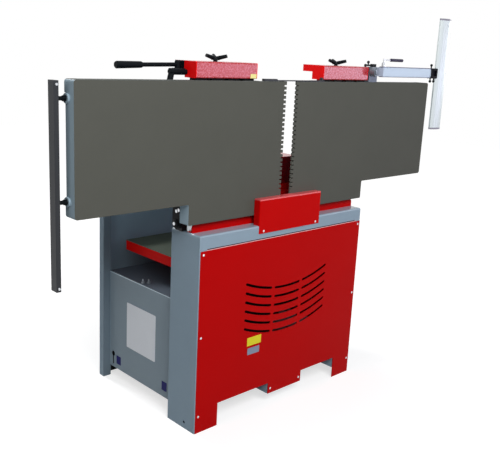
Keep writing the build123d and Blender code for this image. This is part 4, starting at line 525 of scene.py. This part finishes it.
# %% Mix the body paints
GREY = (143, 163, 178)
SHEET_GLOSS = 0.08
SHEET_BUMP = 0.15
skin_depth = 0.0029
pocket_roof = 0.0925
brow = 0.0065
shade_top = 0.2
# Near black, the painted shade inside the body's sheet.
painted_shade = Skin(SHADE_BLACK, 0.7)
grey = Skin(GREY, 0.42)


def outer_walls(low, high):
    """The limits past which a point lies in one of the four walls of a box of sheet."""
    across = [under("X", low.x + skin_depth), over("X", high.x - skin_depth)]
    return across + [under("Y", low.y + skin_depth), over("Y", high.y - skin_depth)]


roof_and_feet = [over("Z", column_high.z - skin_depth), under("Z", pocket_roof)]
patched_finish(
    "column_paint",
    painted_shade,
    (grey, outer_walls(column_low, column_high) + roof_and_feet),
    (Skin(GREY, 0.42, coat=1.0), [over("Z", column_high.z - brow)]),
    gloss=SHEET_GLOSS,
    strength=SHEET_BUMP,
)
operator_low, operator_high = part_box("operator_column")
patched_finish(
    "operator_paint",
    painted_shade,
    (grey, outer_walls(operator_low, operator_high) + [over("Z", shade_top)]),
    # A darker grey on the return strip, as painted shade.
    (Skin((108, 123, 134), 0.5), [under("Y", operator_low.y + skin_depth)]),
    gloss=SHEET_GLOSS,
    strength=SHEET_BUMP,
)
print("columns are painted to a depth of", skin_depth * 1000, "mm")

# %% [markdown]
# The end panels are sheets set back into the ends of the body, each with a keyhole to hang it by. The keyhole
# could be left to the lamps, but its edge is thin and would shine. So here the grey is only as deep as a
# coat, and the hole's wall keeps the near black of painted shade. The panel's top edge is the brightest line
# of the body, a painted highlight of pale paint under clear coat.

# %% Mix the panel paint
coat_depth = 0.0004
lit_edge = 0.0035
panel_low, panel_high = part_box("end_panels")
patched_finish(
    "panel_paint",
    painted_shade,
    (
        Skin((143, 159, 170), 0.42),
        [
            under("X", panel_low.x + coat_depth),
            over("X", panel_high.x - coat_depth),
            over("Z", panel_high.z - skin_depth),
        ],
    ),
    # A painted highlight: a pale strip under clear coat along the panel's top edge.
    (Skin((206, 226, 238), 0.36, coat=1.0), [over("Z", panel_high.z - lit_edge)]),
    gloss=SHEET_GLOSS,
    strength=SHEET_BUMP,
)
print("panel edge is bright from z", round(panel_high.z - lit_edge, 4), "to", round(panel_high.z, 4))

# %% [markdown]
# ## Red covers
# The pulley pod, the vented drive cover and the dust hood are bent from sheet and coated red. Their top edges
# catch the front lamp as thin pale lines. A fine bevel could give the lines, but the solids' meshes are left
# as they are, so each line is a painted highlight: a clear-coated strip of a paler red. The hood hangs in the
# dark between the tables, and its deeper red is painted shade.

# %% Mix the cover paints
COVER_ROUGHNESS = 0.36
for name, piece, colour, highlight_colour, highlight_height, drift_by in (
    ("pod_paint_and_highlight", "pulley_cover", (194, 7, 7), (222, 84, 88), 0.005, 0.05),
    ("cover_paint_and_highlight", "vented_cover", RED, (240, 176, 178), 0.0022, 0.05),
    ("hood_shade_and_highlight", "dust_hood", (104, 4, 10), (186, 20, 24), 0.003, 0.06),
):
    # The paler strip is a painted highlight, and the hood's deep red is painted shade.
    edge = Skin(highlight_colour, COVER_ROUGHNESS, coat=1.0)
    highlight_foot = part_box(piece)[1].z - highlight_height
    patched_finish(
        name, Skin(colour, COVER_ROUGHNESS), (edge, [over("Z", highlight_foot)]), gloss=0.04, drift_by=drift_by
    )
    print(name, "has its bright edge from z", round(highlight_foot, 4))

# %% [markdown]
# ## Hammered lock boxes
# The lock boxes have a coarse hammered paint, which breaks a lamp's reflection into grains. A bump alone
# could give the grains, but they are so small that smoothing the render's noise wipes them out. So the tops
# of the grain also carry painted glints of a paler red, under a clear coat. The plain ends are a brighter
# red, which is painted light.

# %% Mix the hammered paint
lit_end_depth = 0.0025
# The paler flecks are painted glints, and the brighter ends of the boxes are painted light.
hammered = Skin((176, 6, 16), 0.34, stretch=even(150.0), coat=1.0, fleck=(196, 80, 92))
painted_light_ends = Skin((250, 14, 16), 0.5)
for side in ("infeed", "outfeed"):
    low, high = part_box(side + "_lock_box")
    lit_end_limits = [under("X", low.x + lit_end_depth), over("X", high.x - lit_end_depth)]
    patched_finish(side + "_hammered_red", hammered, (painted_light_ends, lit_end_limits), gloss=0.1, strength=0.5)
    print(side, "box is hammered over", round(high.x - low.x - 2 * lit_end_depth, 4), "m")

# %% [markdown]
# ## Ground iron
# The tables are ground along their length on the face and painted on the rim and back. Their top edge is
# bare, and the lugs that lift the lock boxes off it are black, for their dark studs and as painted shade in
# the gap under the boxes. The bed is ground on top and red at its sides.
# Material slots could tell these faces apart, but the solids have one slot each, so planes do it here.
# The planes are read from the lip beside the table and from the bed.

# %% Mix the ground castings
GROUND = (88, 89, 83)
along_feed = (14.0, 900.0, 900.0)
along_bed = (10.0, 800.0, 800.0)
cast_skin = even(420.0)
ground_depth = 0.001
bare_edge = 0.0015
lug_gap = 0.0005
lip_low, lip_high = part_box("infeed_lip")
table_face = lip_low.y + ground_depth
table_edge = lip_high.z
bed_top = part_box("thicknesser_bed")[1].z - ground_depth
blacked = Skin((20, 21, 24), 0.44)
patched_finish(
    "table_iron",
    Skin((150, 170, 182), 0.46, stretch=cast_skin),
    (Skin(GROUND, 0.6, stretch=along_feed), [under("Y", table_face)]),
    (Skin((92, 95, 92), 0.6, stretch=along_feed), [over("Z", table_edge - bare_edge)]),
    # Black above the edge: dark studs, and painted shade in the gap under the lock boxes.
    (blacked, [over("Z", table_edge + lug_gap)]),
    gloss=0.03,
)
one_finish("lip_steel", GROUND, 0.58, gloss=0.03, stretch=along_feed, strength=0.12)
patched_finish(
    "bed_iron",
    Skin((228, 12, 10), 0.4, stretch=cast_skin),
    (Skin((84, 92, 82), 0.5, metal=0.2, stretch=along_bed), [over("Z", bed_top)]),
    gloss=0.05,
)
print("ground faces at y", round(table_face, 4), "and z", round(bed_top, 4))
print("table edge at z", round(table_edge, 4))

# %% [markdown]
# ## Bolts in black iron
# Small bright bolts are part of black pieces here: the bolts through the hinge arms, the shaft ends and the
# rail's stop screws. Each could be a piece of its own, but they stand past the face of what they hold,
# so a plane tells them apart. The studs at the end of the shelf are dull, and the cover's screws are bright.

# %% Mix the bolted pieces
bright = Skin((206, 209, 213), 0.28, metal=0.95)
dull_stud = Skin((128, 135, 142), 0.45, metal=0.5)
rail_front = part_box("fence_rail")[0].y
one_finish("black_iron", (22, 23, 26), 0.46, gloss=0.16, drift_by=0.15, stretch=even(350.0), strength=0.3)
for name, piece, bolt_head in (
    ("hinge_black", "hinge_arms", 0.0045),
    ("shaft_black", "hinge_shafts", 0.0024),
):
    low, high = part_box(piece)
    heads = [under("X", low.x + bolt_head), over("X", high.x - bolt_head)]
    patched_finish(name, blacked, (bright, heads), gloss=0.06)
patched_finish("screw_steel", bright, (dull_stud, [over("Y", column_high.y)]))
patched_finish("rail_bolt_steel", blacked, (bright, [under("Y", rail_front)]))
print("rail bolts are bright in front of y", round(rail_front, 4))

# %% [markdown]
# ## The guard's bracket and arm
# The bracket is a grey casting with a black pin standing out of it. The arm is drawn aluminium, and its
# narrow top and bottom edges are darker beside the broad face, as painted shade. Both could be split, but a
# plane is enough.

# %% Mix the guard's metals
GUARD_IRON_GRAIN = even(260.0)
pin_gap = 0.0004
arm_top_edge = 0.0028
arm_low_edge = 0.0024
knuckle_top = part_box("guard_knuckle")[1].z
arm_low, arm_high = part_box("guard_arm")
patched_finish(
    "bracket_iron",
    Skin((112, 120, 130), 0.45, metal=0.5, stretch=GUARD_IRON_GRAIN),
    (blacked, [over("Z", knuckle_top + pin_gap)]),
)
patched_finish(
    "arm_aluminium",
    Skin((154, 168, 176), 0.42, metal=0.7, stretch=(12.0, 900.0, 900.0)),
    (
        # Darker narrow edges of the arm, as painted shade.
        Skin((92, 90, 112), 0.4, metal=0.3),
        [over("Z", arm_high.z - arm_top_edge), under("Z", arm_low.z + arm_low_edge)],
    ),
    drift_by=0.03,
)
print("guard arm is", round(arm_high.z - arm_low.z, 4), "m high")

# %% [markdown]
# ## Plain metals
# Bars are drawn along their length, turned steel is nearly plain, and knives are ground lengthways.
# One row for each metal gives its colour, roughness, metal share, gloss and lines. A ready-made library would
# have more of them, but these few numbers are all that tells the machine's metals apart.

# %% Mix the metals
for name, colour, rough, metal, gloss, lines in (
    ("grey_iron", (128, 136, 146), 0.45, 0.5, 0.2, GUARD_IRON_GRAIN),
    ("dark_steel", (50, 52, 55), 0.45, 0.4, 0.2, (900.0, 900.0, 18.0)),
    ("bright_steel", (205, 208, 212), 0.28, 0.95, 0.2, ORANGE_PEEL),
    ("knife_steel", (216, 218, 222), 0.2, 1.0, 0.2, (900.0, 20.0, 900.0)),
    ("guard_aluminium", (200, 208, 209), 0.45, 0.5, 0.2, (900.0, 900.0, 12.0)),
    ("black_steel", (9, 13, 17), 0.46, 0.0, 0.07, ORANGE_PEEL),
):
    one_finish(name, colour, rough, metal, gloss=gloss, drift_by=0.03, stretch=lines, strength=0.06)
print("metals:", [name for name in finishes if "steel" in name or "alum" in name])

# %% [markdown]
# ## Mouldings and rubber
# Moulded grips have a fine, even spark-eroded skin. The buttons are smoother, and the belt is dull.
# The black ones could share a finish, but the guard's end block is flatter than the knobs.

# %% Mix the mouldings
for name, colour, rough, gloss in (
    ("dark_plastic", (38, 32, 60), 0.42, 0.2),
    ("cap_plastic", (150, 148, 160), 0.4, 0.2),
    ("switch_plastic", (60, 62, 66), 0.4, 0.2),
    ("green_plastic", (28, 132, 62), 0.28, 0.2),
    ("stop_plastic", (198, 22, 26), 0.28, 0.2),
    ("belt_rubber", (22, 22, 23), 0.62, 0.2),
    ("black_plastic", (9, 14, 18), 0.46, 0.07),
    ("block_plastic", (9, 10, 18), 0.5, 0.04),
):
    one_finish(name, colour, rough, gloss=gloss, drift_by=0.09, stretch=even(1500.0))
print(len(finishes), "finishes mixed")

# %% [markdown]
# ## Painting the machine
# The record names a finish for each piece, and a loop could put just those on. Pieces with a patched finish,
# or with a shade of their own, take a closer one by name. Only the material changes, never the mesh.

# %% Put the finishes on
closer = {
    "infeed_lock_box": "infeed_hammered_red",
    "outfeed_lock_box": "outfeed_hammered_red",
    "drive_column": "column_paint",
    "operator_column": "operator_paint",
    "end_panels": "panel_paint",
    "floor_plate": "inside_painted_shade",
    "pulley_cover": "pod_paint_and_highlight",
    "vented_cover": "cover_paint_and_highlight",
    "dust_hood": "hood_shade_and_highlight",
    "shelf_plate": "shelf_painted_shade",
    "body_screws": "screw_steel",
    "guard_end_block": "block_plastic",
    "hinge_arms": "hinge_black",
    "hinge_shafts": "shaft_black",
    "rail_bolts": "rail_bolt_steel",
    "guard_bracket": "bracket_iron",
    "guard_arm": "arm_aluminium",
}
for part in frame["record"]["subparts"]:
    node = part["node"]
    piece = frame["nodes"][node]
    piece.data.materials.clear()
    piece.data.materials.append(finishes[closer.get(node, part["material_slot"])])
print("painted", len(frame["nodes"]), "pieces")

# %% [markdown]
# ## Blank plates
# Thin plates are stuck on the end panel, the drive cover and a lock box. They are left blank here.
# A plate could be a scaled cube, but its corners are rounded and its edge falls away softly.
# So it is a surface of two parameters: an angle round a circle whose quarters are pulled apart to the
# corners, and a step from the middle of the face out over the edge and back underneath, which closes it.

# %% Work out a plate
AROUND = 64
SHARES_OUT = (0.5, 0.9, 0.985, 1.0, 1.0, 0.5)
SHARES_UP = (1.0, 1.0, 0.97, 0.6, 0.0, 0.0)


def plate_surface(width, height, corner, thick):
    """Each quarter of a circle of the corner radius is moved out to its own corner, then the ring is scaled
    by the share of the way out and lifted by the thickness at that share. Two last points are the middles
    of the face and of the underside."""
    angle = (np.arange(AROUND) + 0.5) * 2 * np.pi / AROUND
    c, s = np.cos(angle), np.sin(angle)
    ring_a = np.sign(c) * (width / 2 - corner) + corner * c
    ring_b = np.sign(s) * (height / 2 - corner) + corner * s
    a = np.append(np.outer(SHARES_OUT, ring_a), (0.0, 0.0))
    b = np.append(np.outer(SHARES_OUT, ring_b), (0.0, 0.0))
    lift = np.append(np.repeat(SHARES_UP, AROUND), (1.0, 0.0)) * thick
    return a, b, lift


def plate_faces():
    """Quads between neighbouring rings, and a fan of triangles round each middle."""
    rings = len(SHARES_OUT)
    face_middle = rings * AROUND
    back_middle = face_middle + 1
    here = np.arange(AROUND)
    beside = (here + 1) % AROUND
    ring = np.arange(rings - 1)[:, None] * AROUND
    last = (rings - 1) * AROUND
    quads = np.stack((ring + here, ring + AROUND + here, ring + AROUND + beside, ring + beside), axis=-1)
    face_fan = np.stack((here, beside, np.full(AROUND, face_middle)), axis=-1)
    back_fan = np.stack((np.full(AROUND, back_middle), last + beside, last + here), axis=-1)
    return quads.reshape(-1, 4).tolist() + face_fan.tolist() + back_fan.tolist()


print("a plate has", len(plate_faces()), "faces")

# %% [markdown]
# The plates are vinyl or thin anodised sheet, so their colours are plain and nearly matt.
# A patch in the wall's own finish would do for such thin things, but a real plate has an edge that shows.

# %% Mix the vinyls
one_finish("pale_vinyl", (238, 243, 250), 0.38, drift_by=0.03)
one_finish("yellow_vinyl", (226, 216, 40), 0.4, drift_by=0.04)
one_finish("cream_vinyl", (238, 230, 150), 0.4, drift_by=0.04)
one_finish("silver_vinyl", (128, 138, 158), 0.36, metal=0.3, drift_by=0.04)
one_finish("blue_vinyl", (38, 38, 104), 0.4, gloss=0.05, drift_by=0.05)
print("vinyls:", [name for name in finishes if "vinyl" in name])

# %% [markdown]
# Each plate takes its wall from the piece that it sticks to, and its centre is measured from the datum.
# It could be parented to that piece by hand, but riding on the piece's body does the same at every pose.

# %% Stick the plates on
PLATE_THICK = 0.0006
CORNER_SHARE = 0.025


def stick_plate(name, wall, centre, size, vinyl, body, slot):
    """A blank plate on a flat wall, which is an outward direction, -X or -Y, and a place. The centre and
    size are along the wall and up it."""
    facing, wall_place = wall
    a, b, lift = plate_surface(*size, min(size) * CORNER_SHARE, PLATE_THICK)
    across = 1 if facing == "-X" else 0
    points = np.empty((a.size, 3))
    points[:, 1 - across] = wall_place - lift
    points[:, across] = datum[across] + centre[0] + (-a if facing == "-X" else a)
    points[:, 2] = centre[1] + b
    mesh = bpy.data.meshes.new(name)
    mesh.from_pydata(points.tolist(), [], plate_faces())
    mesh.validate()
    mesh.materials.append(finishes[vinyl])
    plate = bpy.data.objects.new(name, mesh)
    scene.collection.objects.link(plate)
    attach(plate, body)


panel = ("-X", panel_low.x)
cover = ("-Y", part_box("vented_cover")[0].y)
lock_box = ("-Y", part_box("infeed_lock_box")[0].y)
plates = (
    ("panel_plate", panel, (0.3865, 0.2685), (0.195, 0.193), "pale_vinyl", "frame", "grey_paint"),
    ("panel_mark_rear", panel, (0.542, 0.0885), (0.032, 0.037), "blue_vinyl", "frame", "grey_paint"),
    ("panel_mark_front", panel, (0.226, 0.094), (0.032, 0.038), "blue_vinyl", "frame", "grey_paint"),
    ("cover_plate_upper", cover, (-0.159, 0.2995), (0.074, 0.034), "yellow_vinyl", "frame", "red_paint"),
    ("cover_plate_lower", cover, (-0.161, 0.2593), (0.063, 0.0275), "silver_vinyl", "frame", "red_paint"),
    ("box_mark", lock_box, (-0.191, 1.294), (0.029, 0.0155), "cream_vinyl", "infeed_side", "red_paint"),
)
for plate in plates:
    stick_plate(*plate)
print("plates:", [plate[0] for plate in plates])
